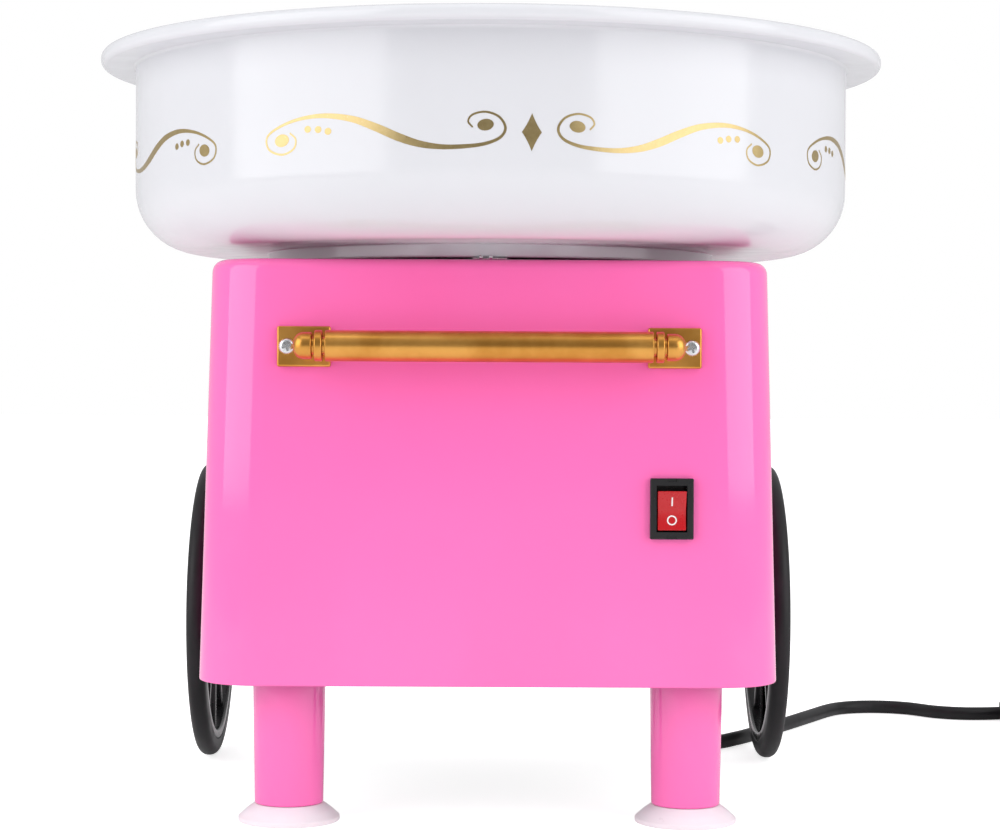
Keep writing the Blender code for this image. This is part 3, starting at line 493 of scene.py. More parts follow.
pink_plastic = skin("pink_plastic", pink_face)
SWITCH = on_front(0.063, 0.1118)
shell = cuboid("body_moulding", (-BODY_HALF_X, -BODY_HALF_Y, BODY_LOW), (BODY_HALF_X, BODY_HALF_Y, BODY_TOP))
pick(shell, "FACE", lambda middle, normal: normal.z > 0.9)
bpy.ops.transform.resize(value=(0.0978 / BODY_HALF_X, 0.0935 / BODY_HALF_Y, 1))
bpy.ops.object.mode_set(mode="OBJECT")
bevelled(shell, "EDGE", lambda middle, along: abs(along.z) > 0.9, 0.022, 16)
bevelled(shell, "EDGE", lambda middle, along: middle.z > BODY_TOP - 0.0001, 0.0042, 8)
pick(shell, "FACE", lambda middle, normal: middle.z < BODY_LOW + 0.0001)
bpy.ops.mesh.delete(type="FACE")
bpy.ops.object.mode_set(mode="OBJECT")
applied(shell, "SOLIDIFY", thickness=SHELL_WALL, use_even_offset=True)
bevelled(shell, "EDGE", lambda middle, along: middle.z < BODY_LOW + 0.0001 and abs(along.z) < 0.1, 0.0005, 3)


def drill(radius, bottom, top, place=Matrix(), sides=48):
    """A round cutter along local Z."""
    outline = [(0, top, 0), (radius, top, 0), (radius, bottom, 0), (0, bottom, 0)]
    return moved(lathe("drill", outline, sides), place)


face_out = Matrix.Rotation(math.pi / 2, 4, "X")
out = {"left": Matrix.Rotation(-math.pi / 2, 4, "Y"), "right": Matrix.Rotation(math.pi / 2, 4, "Y")}
boss_outline = [
    (SCREW_HOLE, ABOVE_PLATE, 0), (0.0042, ABOVE_PLATE, 0.0005), (0.0042, 0.1958, 0), (SCREW_HOLE, 0.1958, 0),
]
bosses = [moved(lathe("boss", boss_outline, 24), at(x, y, 0)) for x, y in BOSSES]
carve(
    shell,
    drill(0.0414, 0.18, 0.21, sides=128),
    drill(SCREW_HOLE, 0.18, 0.21, at(-TRAY_SCREW_X, 0, 0), 24),
    drill(SCREW_HOLE, 0.18, 0.21, at(TRAY_SCREW_X, 0, 0), 24),
    moved(cuboid("switch_hole", (-0.0066, -0.01, -0.0096), (0.0066, 0.01, 0.0096)), SWITCH),
    drill(SCREW_HOLE, -0.01, 0.01, on_front(-PLATE_SCREW_X, HANDLE_Z) @ face_out, 24),
    drill(SCREW_HOLE, -0.01, 0.01, on_front(PLATE_SCREW_X, HANDLE_Z) @ face_out, 24),
    drill(0.0062, -0.12, 0.12, AXLE @ out["right"]),
)
settle(joined("body_moulding", [shell, *bosses]), "root", pink_plastic, "body_shell", flats=True)


# Front legs: two short tapered pink posts, each drawn up against the base by a long screw from inside.
SIDES = ((-1, "left"), (1, "right"))
LEG_X, LEG_Y = 0.0701, -0.074
post = lathe("leg_post", [
    (0, 0.0337, 0), (SCREW_HOLE, 0.0337, 0), (SCREW_HOLE, UNDER_PLATE, 0), (0.0128, UNDER_PLATE, 0.0006),
    (0.0121, 0.0064, 0.0006), (0.0044, 0.0064, 0), (0.0044, 0.0149, 0), (0, 0.0149, 0),
], 72)
long_screw = screw("leg_screw_long", 0.0145)
for side, name in SIDES:
    leg = copied(post, f"leg_{name}_post", at(side * LEG_X, LEG_Y, 0))
    settle(leg, "root", pink_plastic, f"leg_{name}")
    driven = copied(long_screw, f"leg_screw_{name}_cross", at(side * LEG_X, LEG_Y, ABOVE_PLATE))
    settle(driven, "root", steel, f"leg_screw_{name}")
bpy.data.objects.remove(post)
bpy.data.objects.remove(long_screw)


# Suction cups: milky soft vinyl, each with a stem pressed up into its leg and a thin lip on the ground.
def vinyl_face(place):
    """Milky vinyl: cloudy inside, and darker and greyer at the lip, in its lowest 3.5 mm."""
    cloud = place.noise(160, 3)
    lip = place.part(2).ramp(0.0, 0.0035)
    return {
        "Base Color": lip.mix((0.90, 0.79, 0.84), cloud.mix((0.95, 0.82, 0.885), (0.97, 0.86, 0.92))),
        "Roughness": 0.24 + 0.12 * cloud,
        "Subsurface Weight": 0.35,
        "Subsurface Radius": (0.004, 0.003, 0.003),
        "Subsurface Scale": 1.0,
        "Normal": cloud.bump(0.00001),
    }


milky_rubber = skin("milky_rubber", vinyl_face)
cup = lathe("suction_cup", [
    (0, 0.0144, 0), (0.0040, 0.0144, 0.0008), (0.0040, 0.0063, 0), (0.0121, 0.0063, 0.0004),
    (0.0151, 0.0041, 0.0015), (0.0179, 0.0016, 0.0006), (0.0179, 0, 0.0004), (0.0157, 0, 0),
    (0.0132, 0.0016, 0.0008), (0.0060, 0.0032, 0.001), (0, 0.0034, 0),
], 96)
for side, name in SIDES:
    pressed = copied(cup, f"suction_cup_{name}_soft", at(side * LEG_X, LEG_Y, 0))
    settle(pressed, "root", milky_rubber, f"suction_cup_{name}")
bpy.data.objects.remove(cup)


# Axle and bushes: a bright steel rod right through the body, in a flanged black bush at each side.
AXLE_END = 0.1206
rod = lathe("axle_rod", [
    (0, AXLE_END, 0), (0.003, AXLE_END, 0.0004), (0.003, -AXLE_END, 0.0004), (0, -AXLE_END, 0),
], 40)
settle(moved(rod, AXLE @ out["right"]), "root", steel, "wheel_axle")
AXLE_BORE = 0.0034
FLANGE_RADIUS = 0.0072
GAP = 0.0003
bush = lathe("bush", [
    (AXLE_BORE, 0.0015, 0), (FLANGE_RADIUS, 0.0015, 0.0004), (FLANGE_RADIUS, 0, 0.0002), (0.0058, 0, 0),
    (0.0058, -0.006, 0.0004), (AXLE_BORE, -0.006, 0),
], 48)
BUSH_X = BODY_HALF_X - TAPER_X * (WHEEL_RADIUS - FLANGE_RADIUS - BODY_LOW) / BODY_HEIGHT + GAP
for name, turn in out.items():
    pressed = copied(bush, f"axle_bush_{name}_turned", AXLE @ turn @ at(0, 0, BUSH_X))
    settle(pressed, "root", dark_plastic, f"axle_bush_{name}")
bpy.data.objects.remove(bush)


# Wheels: each a black moulded cartwheel of hub, twelve spokes and rim, which turns on the axle.
black_plastic = skin("black_plastic", moulded((0.007, 0.007, 0.008), 0.24, 0.000005, 0.15))
WHEEL_X = 0.1147
HUB_OUT, HUB_IN = 0.0037, BUSH_X + 0.0018 - WHEEL_X
hub = lathe("hub", [
    (AXLE_BORE, HUB_OUT, 0.0002), (0.0105, HUB_OUT, 0.0016), (0.0105, -HUB_OUT, 0.0006),
    (FLANGE_RADIUS, HUB_IN, 0.0004), (AXLE_BORE, HUB_IN, 0),
], 64)
rim = lathe("rim", [
    (0.0498, 0.0035, 0.0010), (0.0534, 0.0035, 0.0003), (0.0534, -0.0035, 0.0003),
    (0.0498, -0.0035, 0.0010), (0.0503, 0, 0),
], 128)
spoke = cuboid("spoke", (0.0075, -0.0016, -0.0016), (0.0508, 0.0016, 0.0016), 0.0007)
spokes = [copied(spoke, "spoke", Matrix.Rotation(math.pi * i / 6, 4, "Z")) for i in range(12)]
cartwheel = joined("cartwheel", [hub, rim, spoke, *spokes])


# Tyres: plain black rubber rings stretched over the rims, almost half-round in section.
def rubber_face(place):
    """Black rubber: matt, finely pitted, greyed where it rubs."""
    pit = place.noise(1900, 2)
    bloom = place.noise(55, 4, 0.6).ramp(0.4, 0.75)
    return {
        "Base Color": bloom.mix((0.006, 0.006, 0.007), (0.014, 0.013, 0.015)),
        "Roughness": 0.42 + 0.14 * bloom + 0.05 * pit,
        "Specular IOR Level": 0.32,
        "Normal": pit.bump(0.000012),
    }


black_rubber = skin("black_rubber", rubber_face)
tyre = lathe("tyre", [
    (0.0537, 0.0036, 0.0003), (WHEEL_RADIUS, 0.0036, 0.0033), (WHEEL_RADIUS, -0.0036, 0.0033),
    (0.0537, -0.0036, 0.0003),
], 160, 9)


# Hub caps: small domed caps pressed on the axle's ends, plated gold.
def gold_face(place):
    """Satin gold plating over fine polishing marks, browner where it is thin."""
    mark = place.scaled(0.12, 1, 1).noise(2600, 2)
    thin = place.noise(75, 3, 0.6)
    return {
        "Base Color": thin.ramp(0.3, 0.75).mix((0.55, 0.25, 0.048), (0.70, 0.355, 0.085)),
        "Metallic": 1.0,
        "Roughness": 0.24 + 0.08 * mark + 0.06 * thin,
        "Normal": mark.bump(0.0000015),
    }


gold = skin("gold", gold_face)
cap = lathe("cap", [
    (0, 0.0040, 0), (0.0052, 0.0040, 0.0022), (0.0072, 0.0010, 0.0010), (0.0072, 0, 0), (AXLE_BORE, 0, 0),
    (AXLE_BORE, 0.0024, 0), (0, 0.0024, 0),
], 48)
for name, turn in out.items():
    spot = AXLE @ turn @ at(0, 0, WHEEL_X)
    settle(copied(cartwheel, f"wheel_{name}_moulding", spot), f"wheel_{name}", black_plastic, f"wheel_{name}")
    settle(copied(tyre, f"tyre_{name}_band", spot), f"wheel_{name}", black_rubber, f"tyre_{name}")
    cap_body = body_of(frame["nodes"][f"hub_cap_{name}"])[0]
    dome = copied(cap, f"hub_cap_{name}_dome", spot @ at(0, 0, HUB_OUT + GAP))
    settle(dome, cap_body, gold, f"hub_cap_{name}")
for spare in (cartwheel, tyre, cap):
    bpy.data.objects.remove(spare)


# Handle: a satin gold bar across the front, with a grooved collar and a round end piece at each end,
# on posts from two square plates. A cross-head screw holds each plate to the body.
BAR_RADIUS, BAR_OUT = 0.0053, at(0, -0.011, 0)
bar = lathe("handle_rod", [
    (0, 0.0582, 0), (0.003, 0.0582, 0), (0.003, 0.0557, 0), (BAR_RADIUS, 0.0557, 0.0003),
    (BAR_RADIUS, -0.0557, 0.0003), (0.003, -0.0557, 0), (0.003, -0.0582, 0), (0, -0.0582, 0),
], 64)
grip = on_front(0, HANDLE_Z) @ BAR_OUT
settle(moved(bar, grip @ out["right"]), "root", gold, "handle_bar")
fitting = lathe("fitting", [
    (0, 0.0107, 0), (0.0046, 0.0107, 0.0036), (0.0046, 0.0042, 0.0006), (0.0030, 0.0042, 0),
    (0.0030, 0.0034, 0), (BAR_RADIUS, 0.0034, 0.0005), (BAR_RADIUS, 0.0007, 0.0005), (0.0034, 0.0007, 0),
    (0.0034, 0.0028, 0), (0, 0.0028, 0),
], 56)
plate_screw = screw("plate_screw", 0.0105, 0.0029)
for side, (name, turn) in zip((-1, 1), out.items()):
    plate = cuboid("plate", (-0.00925, -0.0023, -0.007), (0.00925, -0.0003, 0.007), 0.0007, 4)
    moved(plate, on_front(side * 0.06375, HANDLE_Z))
    screw_place = on_front(side * PLATE_SCREW_X, HANDLE_Z)
    carve(plate, drill(SCREW_HOLE, -0.01, 0.004, screw_place @ face_out, 24))
    end_piece = copied(fitting, "end_piece", on_front(side * 0.056, HANDLE_Z) @ BAR_OUT @ turn)
    stem = lathe("stem", [
        (0.0026, 0.011, 0), (0.0035, 0.011, 0), (0.0035, 0.0028, 0), (0.0043, 0.0018, 0), (0.0026, 0.0018, 0),
    ], 40)
    moved(stem, on_front(side * 0.0616, HANDLE_Z) @ face_out)
    bracket = joined("bracket", [plate, end_piece, stem])
    bracket.name = f"handle_bracket_{name}_plated"
    settle(bracket, "root", gold, f"handle_bracket_{name}", flats=True)
    seat = screw_place @ at(0, -0.0026, 0) @ face_out
    settle(copied(plate_screw, f"handle_screw_{name}_cross", seat), "root", steel, f"handle_screw_{name}")
bpy.data.objects.remove(fitting)
bpy.data.objects.remove(plate_screw)


# Switch bezel: a black snap-in frame with its box behind the face, notched at the top and bottom.
def prism(name, corners, thickness):
    """A rounded outline in the XZ plane, filled and thickened evenly along Y."""
    made = draw(name, rounded(corners, 5), True)
    bpy.ops.mesh.edge_face_add()
    bpy.ops.mesh.extrude_region_move(TRANSFORM_OT_translate={"value": (0, thickness, 0)})
    bpy.ops.mesh.select_all(action="SELECT")
    bpy.ops.transform.translate(value=(0, -thickness / 2, 0))
    bpy.ops.mesh.normals_make_consistent(inside=False)
    bpy.ops.object.mode_set(mode="OBJECT")
    return made


def framed(left, low, right, high, rounding):
    """The four corners of a rounded rectangle."""
    return [(left, low, rounding), (right, low, rounding), (right, high, rounding), (left, high, rounding)]


bezel = prism("bezel", framed(-0.0075, -0.0105, 0.0075, 0.0105, 0.0005), 0.002)
moved(bezel, at(0, -0.0013, 0))
bevelled(bezel, "FACE", lambda middle, normal: normal.y < -0.9, 0.0004, 4)
carve(bezel, cuboid("back", (-0.0062, -0.0008, -0.0092), (0.0062, 0.014, 0.0092), 0.0003), operation="UNION")
carve(
    bezel,
    cuboid("well", (-0.0053, -0.01, -0.0080), (0.0053, 0.0125, 0.0080)),
    cuboid("notch", (-0.0018, -0.01, 0.0094), (0.0018, -0.0016, 0.02)),
    cuboid("notch", (-0.0018, -0.01, -0.02), (0.0018, -0.0016, -0.0094)),
)
bezel.name = "switch_bezel_frame"
settle(moved(bezel, SWITCH), "root", black_plastic, "switch_bezel", flats=True)


# Rocker: glossy red, hollowed on its face, with its top tipped out. A white bar and a white ring are
# printed on its two halves.
red_plastic = skin("red_plastic", moulded((0.52, 0.004, 0.009), 0.22, 0.000002, 0.10))
HALF = 0.0070
FLARE = 0.0014
MARK_DEPTH = 0.00006


def hollow(up):
    """How far the rocker's face stands out, at a height on it."""
    return 0.0030 + FLARE * (abs(up) / HALF) ** 1.5


face_line = [(-hollow(HALF * k / 8), HALF * k / 8, 0.0003 if abs(k) == 8 else 0) for k in range(-8, 9)]
rocker = prism("rocker", [*face_line, (0.0030, HALF * 0.7, 0.0005), (0.0030, -HALF * 0.7, 0.0005)], 0.0098)
moved(rocker, Matrix.Rotation(math.pi / 2, 4, "Z"))
tip = SWITCH @ at(0, 0.0010, 0) @ Matrix.Rotation(math.radians(9), 4, "X")
applied(rocker, "BEVEL", width=0.0003, segments=3, limit_method="ANGLE", angle_limit=math.radians(40))
rocker.name = "switch_rocker_cap"
settle(moved(rocker, tip), "rocker", red_plastic, "switch_rocker", angle=28, flats=True)

print_white = skin("rocker_print", moulded((0.85, 0.85, 0.85), 0.35, 0.000004, 0.05))
slope = math.atan(FLARE * 1.5 * 0.5**0.5 / HALF)
bar_mark = cuboid("rocker_bar_mark", (-0.00024, -MARK_DEPTH, -0.0016), (0.00024, MARK_DEPTH, 0.0016))
ring_mark = moved(lathe("rocker_ring_mark", [
    (0.00125, MARK_DEPTH, 0), (0.0017, MARK_DEPTH, 0), (0.0017, -MARK_DEPTH, 0), (0.00125, -MARK_DEPTH, 0),
], 48), face_out)
for mark, up in ((bar_mark, 0.0031), (ring_mark, -0.0034)):
    lean = Matrix.Rotation(math.copysign(slope, up), 4, "X")
    moved(mark, tip @ at(0, -hollow(up) - 0.00003, up) @ lean)
    settle(mark, "rocker", print_white)


# Heater tray: a white moulding let into the body's top, whose cup also centres the bowl. Two screws
# hold its flange down.
tray = lathe("heater_tray_cup", [
    (0.0388, 0.2110, 0.0006), (0.0410, 0.2110, 0.0008), (0.0410, 0.1993, 0.0008), (0.0620, 0.1993, 0.0005),
    (0.0620, 0.1978, 0), (0.0410, 0.1978, 0), (0.0410, 0.1780, 0.0010), (0.0055, 0.1780, 0.0004),
    (0.0055, 0.1802, 0.0004), (0.0388, 0.1802, 0.0012),
], 128)
TAILS = [(0.0264, -0.0056), (0.0264, 0.0056)]
carve(tray, *[drill(0.0046, 0.17, 0.186, at(x, y, 0), 32) for x, y in TAILS])
carve(tray, *[drill(SCREW_HOLE, 0.19, 0.205, at(x, 0, 0), 24) for x in (-TRAY_SCREW_X, TRAY_SCREW_X)])
settle(tray, "root", white_plastic, "heater_tray")
tray_screw = screw("tray_screw", 0.011)
for side, name in SIDES:
    driven = copied(tray_screw, f"tray_screw_{name}_cross", at(side * TRAY_SCREW_X, 0, 0.1996))
    settle(driven, "root", steel, f"tray_screw_{name}")
bpy.data.objects.remove(tray_screw)


# Heat shield, element and insulators: a spun aluminium dish under a sheathed heating rod, whose two
# ends go down through ceramic sleeves. A thermal cut-out is fixed under the tray.
def turned_face(place):
    """Turned aluminium: rings round the machine's axis, dulled in patches."""
    across, along = place.part(0), place.part(1)
    radius = (across * across + along * along) ** 0.5
    rings = (radius * 9000).sine() + 0.8 * place.noise(600, 2)
    dull = place.noise(90, 3, 0.6).ramp(0.4, 0.8)
    return {
        "Base Color": dull.mix((0.82, 0.83, 0.85), (0.68, 0.69, 0.71)),
        "Metallic": 1.0,
        "Roughness": 0.20 + 0.14 * dull + 0.02 * rings,
        "Normal": rings.bump(0.0000025),
    }


def sheath_face(place):
    """Oxidised heater sheath: brown-black scale, blued in bands."""
    scale = place.noise(800, 4, 0.7)
    band = place.noise(45, 2).ramp(0.4, 0.65)
    return {
        "Base Color": band.mix((0.10, 0.075, 0.06), (0.13, 0.14, 0.20)),
        "Metallic": 0.85,
        "Roughness": 0.38 + 0.25 * scale,
        "Normal": scale.bump(0.00002),
    }


def ceramic_face(place):
    """Steatite: off-white, speckled and finely porous."""
    speck = place.noise(2200, 3, 0.7)
    return {
        "Base Color": speck.ramp(0.55, 0.72).mix((0.86, 0.83, 0.76), (0.62, 0.57, 0.48)),
        "Roughness": 0.50 + 0.2 * speck,
        "Normal": speck.bump(0.00002),
    }


aluminium = skin("aluminium", turned_face)
element = skin("element", sheath_face)
ceramic = skin("ceramic", ceramic_face)
dish = lathe("heat_shield_dish", [
    (0.0360, 0.1897, 0.0003), (0.0368, 0.1897, 0.0003), (0.0338, 0.1827, 0.0012), (0.0085, 0.1827, 0.0003),
    (0.0085, 0.1835, 0.0003), (0.0330, 0.1835, 0.0006),
], 96)
carve(dish, *[drill(0.0046, 0.17, 0.186, at(x, y, 0), 32) for x, y in TAILS])
settle(dish, "root", aluminium, "heat_shield")


def drawn_rod(name, route, radius, roundness, smoothness):
    """A round rod or lead along a smooth curve through the route, closed at both ends."""
    bpy.ops.curve.primitive_bezier_curve_add()
    made = bpy.context.object
    made.name = name
    made.data.splines.clear()
    spline = made.data.splines.new("BEZIER")
    spline.bezier_points.add(len(route) - 1)
    for point, place in zip(spline.bezier_points, route):
        point.co = place
        point.handle_left_type = point.handle_right_type = "AUTO"
    made.data.dimensions = "3D"
    made.data.bevel_depth = radius
    made.data.bevel_resolution = roundness
    made.data.resolution_u = smoothness
    made.data.use_fill_caps = True
    return made


turns = [math.radians(22) + math.radians(316) * i / 24 for i in range(25)]
ring_points = [(0.027 * math.cos(t), 0.027 * math.sin(t), 0.1947) for t in turns]
tail = [(0.0264, 0.0056, z) for z in (0.1707, 0.1800, 0.1903)] + [(0.0260, 0.0072, 0.1938)]
line = tail + ring_points + [(x, -y, z) for x, y, z in reversed(tail)]
only(drawn_rod("heating_element_rod", line, 0.0022, 5, 4))
bpy.ops.object.convert(target="MESH")
settle(bpy.context.object, "root", element, "heating_element")
sleeve = lathe("sleeve", [
    (0.0026, 0.0085, 0.0003), (0.0042, 0.0085, 0.0005), (0.0042, -0.0045, 0.0005), (0.0026, -0.0045, 0.0003),
], 32)
for (x, y), name in zip(TAILS, ("front", "rear")):
    fitted = copied(sleeve, f"element_insulator_{name}_sleeve", at(x, y, 0.1785))
    settle(fitted, "root", ceramic, f"element_insulator_{name}")
bpy.data.objects.remove(sleeve)
carry(black_plastic, "thermal_cutout")


# Motor: a pressed steel can with a black end cap, hung on a bent steel bracket below the tray. Its
# wound rotor, shaft and cooling fan turn together.
def winding_face(place):
    """Enamelled copper wire, laid in close turns."""
    up = place.part(2)
    turns = (up * 14000).sine()
    shade = place.noise(300, 2)
    return {
        "Base Color": shade.mix((0.42, 0.15, 0.06), (0.72, 0.30, 0.13)),
        "Metallic": 0.9,
        "Roughness": 0.26 + 0.08 * shade,
        "Normal": turns.bump(0.00008),
    }


copper = skin("copper", winding_face)
carry(steel, "motor_bracket", "motor_can", "motor_shaft")
carry(black_plastic, "motor_end_cap", "motor_fan")
carry(copper, "motor_rotor")
short_screw = screw("motor_screw", 0.006)
for side, name in SIDES:
    spot = at(side * 0.0126, 0, 0.1539)
    settle(copied(short_screw, f"motor_screw_{name}_cross", spot), "root", steel, f"motor_screw_{name}")
bpy.data.objects.remove(short_screw)


# Spinner: a turned aluminium cup on the shaft, a band of narrow slots that throws the sugar, and a
# lid with the mouth for the sugar. The three lift off the shaft together.
low, rise = 0.2019, 0.0110
cup = lathe("spinner_head_cup", [
    (0.0325, low + rise, 0.0003), (0.0340, low + rise, 0.0004), (0.0340, low + 0.0035, 0.0012),
    (0.0300, low, 0.0010), (0.0029, low, 0), (0.0029, low + rise - 0.001, 0),
    (0.0064, low + rise - 0.001, 0.0005), (0.0074, low + 0.0015, 0.0008),
    (0.0285, low + 0.0015, 0.0010), (0.0325, low + 0.0055, 0.0010),
], 128)
settle(cup, "spinner", aluminium, "spinner_head")
BAND_LOW, BAND_HIGH = 0.2132, 0.2244
HOOP, BARS = 0.0019, 72
hoops = [
    lathe("hoop", [
        (0.0326, z + HOOP, 0.0002), (0.0336, z + HOOP, 0.0002), (0.0336, z, 0.0002), (0.0326, z, 0.0002),
    ], 144)
    for z in (BAND_LOW, BAND_HIGH - HOOP)
]
upright = cuboid("upright", (0.0327, -0.00062, BAND_LOW + 0.0015), (0.0335, 0.00062, BAND_HIGH - 0.0015))
turns = [Matrix.Rotation(2 * math.pi * i / BARS, 4, "Z") for i in range(1, BARS)]
uprights = [copied(upright, "upright", turn) for turn in turns]
settle(joined("spinner_band_slotted", [*hoops, upright, *uprights]), "spinner", steel, "spinner_band")
seat = 0.2247
lid = lathe("spinner_lid_turned", [
    (0.0160, seat + 0.0055, 0.0004), (0.0172, seat + 0.0055, 0.0006), (0.0190, seat + 0.0026, 0.0020),
    (0.0320, seat + 0.0015, 0.0010), (0.0340, seat + 0.0007, 0.0006), (0.0340, seat, 0), (0.0170, seat, 0),
    (0.0160, seat + 0.0012, 0),
], 128)
settle(lid, "spinner", aluminium, "spinner_lid")


# Bowl: a wide glossy white pan with a rolled rim, a foot ring below and a collar that slips over the
# tray's cup. A steel spring strip with two small hooks on the body's top holds its foot.
BOWL_RADIUS = 0.1345
pan = lathe("bowl_pan", [
    (0.1325, 0.2773, 0), (BOWL_RADIUS, 0.2773, 0), (0.1474, 0.2773, 0.0025), (0.1474, 0.2720, 0.0022),
    (BOWL_RADIUS, 0.2720, 0.0012), (BOWL_RADIUS, 0.2033, 0.023), (0.0846, 0.2033, 0.0005),
    (0.0846, 0.1986, 0.0008), (0.0821, 0.1986, 0.0008), (0.0821, 0.2033, 0.0005), (0.0448, 0.2033, 0.0005),
    (0.0448, 0.1996, 0.0005), (0.0423, 0.1996, 0.0005), (0.0423, 0.2128, 0.0011), (0.0448, 0.2128, 0.0011),
    (0.0448, 0.2058, 0.0020), (0.1320, 0.2058, 0.0205), (0.1320, 0.2755, 0.0010),
], 256, 12)
settle(pan, "bowl", white_plastic, "bowl", angle=40)
spring = cuboid("spring", (-0.0060, -0.0861, 0.1978), (0.0060, -0.0801, 0.1983), 0.0002)
hook_outline = [(0, 0.0007, 0), (0.0007, 0.0007, 0.0005), (0.0007, -0.0006, 0), (0, -0.0006, 0)]
hooks = [moved(lathe("hook", hook_outline, 24), at(x, -0.0863, 0.1985) @ face_out) for x in (-0.0031, 0.0003)]
settle(joined("bowl_catch_spring", [spring, *hooks]), "root", steel, "bowl_catch")


# Bowl ornament: four gold foil scrolls round the pan's wall. Each is a concave diamond with a curl to
# either side, whose line swells midway, and dots at the curls. They are cut flat and bent to the wall.
def foil_face(place):
    """Hot-stamped gold foil: bright, a little crinkled, thin at pinholes."""
    crinkle = place.noise(520, 3, 0.6)
    thin = place.noise(2400, 2).ramp(0.64, 0.74)
    return {
        "Base Color": thin.mix(crinkle.mix((0.42, 0.31, 0.13), (0.54, 0.42, 0.21)), (0.56, 0.46, 0.30)),
        "Metallic": 0.95,
        "Roughness": 0.24 + 0.12 * crinkle,
        "Normal": crinkle.bump(0.000012),
    }


def through(stops):
    """Points on the smooth line through the stops, each (x, z, half-width)."""
    parts = 7
    ends = [2 * Vector(stops[0]) - Vector(stops[1]), 2 * Vector(stops[-1]) - Vector(stops[-2])]
    line = [ends[0], *map(Vector, stops), ends[1]]
    made = []
    for before, a, b, after in zip(line, line[1:], line[2:], line[3:]):
        for k in range(parts):
            t = k / parts
            made.append(0.5 * (2 * a + (b - before) * t + (2 * before - 5 * a + 4 * b - after) * t * t
                               + (3 * a - before - 3 * b + after) * t**3))
    return [*made, Vector(stops[-1])]


def ribbon(stops):
    """The outline of a line of changing width: out along one side and back along the other."""
    line = through(stops)
    left, right = [], []
    for before, here, after in zip([line[0], *line], line, [*line[1:], line[-1]]):
        way = (after - before).to_2d().normalized()
        aside = Vector((-way.y, way.x)) * here.z
        left.append(here.to_2d() + aside)
        right.append(here.to_2d() - aside)
    return left + right[::-1]


def dot(x, z, half_x, half_z, lean=0.0):
    """An ellipse's outline."""
    turn = Matrix.Rotation(math.radians(lean), 2)
    angles = [2 * math.pi * k / 28 for k in range(28)]
    return [turn @ Vector((half_x * math.cos(t), half_z * math.sin(t))) + Vector((x, z)) for t in angles]


def curl(side):
    """One side's curl, in millimetres: inner loop, trough, swell, crest and outer loop."""
    line = [
        (19.4, 238.3, 0.28), (20.9, 240.3, 0.30), (19.4, 242.5, 0.32), (15.2, 243.4, 0.34), (10.9, 241.9, 0.38),
        (8.7, 238.4, 0.43), (10.4, 235.1, 0.48), (15.4, 233.0, 0.56), (22.0, 232.1, 0.68), (29.5, 231.9, 0.82),
        (37.0, 232.9, 1.10), (44.2, 235.2, 1.35), (52.0, 238.5, 1.30), (60.5, 241.4, 1.05), (70.6, 242.7, 0.78),
        (80.0, 241.9, 0.54), (88.0, 239.6, 0.42), (93.2, 236.4, 0.37), (92.4, 232.2, 0.35), (87.0, 230.3, 0.33),
        (82.3, 232.0, 0.32), (81.4, 235.2, 0.30), (83.8, 237.4, 0.28),
    ]
    shapes = [ribbon(line), dot(15.2, 239.2, 2.7, 1.9, -8), dot(87.0, 235.0, 2.9, 2.1, -8)]
    shapes += [dot(x, z, 1.25, 1.15) for x, z in ((69.0, 237.5), (72.7, 238.2), (76.7, 238.4))]
    return [[Vector((side * p.x, p.y)) for p in shape] for shape in shapes]


DIAMOND_Z = 0.237
tips = [Vector(tip) for tip in ((0, 6.2), (3.3, 0), (0, -6.2), (-3.3, 0))]
diamond = []
for a, b in zip(tips, [*tips[1:], tips[0]]):
    diamond += [a.lerp(b, k / 8) * (1 - 0.3 * (k / 8) * (1 - k / 8)) + Vector((0, 237.0)) for k in range(8)]
FOIL = 0.00006
flat = bpy.data.curves.new("scroll", "CURVE")
flat.dimensions = "2D"
flat.fill_mode = "BOTH"
flat.extrude = FOIL
for outline in [diamond, *curl(-1), *curl(1)]:
    spline = flat.splines.new("POLY")
    spline.points.add(len(outline) - 1)
    for point, spot in zip(spline.points, outline):
        point.co = (spot.x / 1000, spot.y / 1000, 0, 1)
    spline.use_cyclic_u = True
motif = bpy.data.objects.new("scroll", flat)
bpy.context.scene.collection.objects.link(motif)
only(motif)
bpy.ops.object.convert(target="MESH")
motif = bpy.context.object
bpy.ops.object.mode_set(mode="EDIT")
bpy.ops.mesh.select_all(action="SELECT")
bpy.ops.mesh.remove_doubles(threshold=1e-7)
for k in range(-47, 48):
    bpy.ops.mesh.select_all(action="SELECT")
    bpy.ops.mesh.bisect(plane_co=(0.002 * k, 0, 0), plane_no=(1, 0, 0))
bpy.ops.mesh.select_all(action="SELECT")
bpy.ops.mesh.normals_make_consistent(inside=False)
bpy.ops.object.mode_set(mode="OBJECT")
tilt = at(0, 0, DIAMOND_Z) @ Matrix.Rotation(math.radians(0.4), 4, "Y") @ at(0, 0, -DIAMOND_Z)
moved(motif, tilt @ face_out)
across = [v.co.x for v in motif.data.vertices]
arc = (max(across) - min(across)) / BOWL_RADIUS
applied(motif, "SIMPLE_DEFORM", deform_method="BEND", deform_axis="Z", angle=arc)
foil = skin("gold_foil", foil_face)
for i in range(4):
    turn = Matrix.Rotation(math.radians(5.8 + 90 * i), 4, "Z") @ at(0, -BOWL_RADIUS, 0)
    scroll = settle(copied(motif, f"bowl_scroll_{i + 1}", turn), "bowl", foil)
bpy.data.objects.remove(motif)


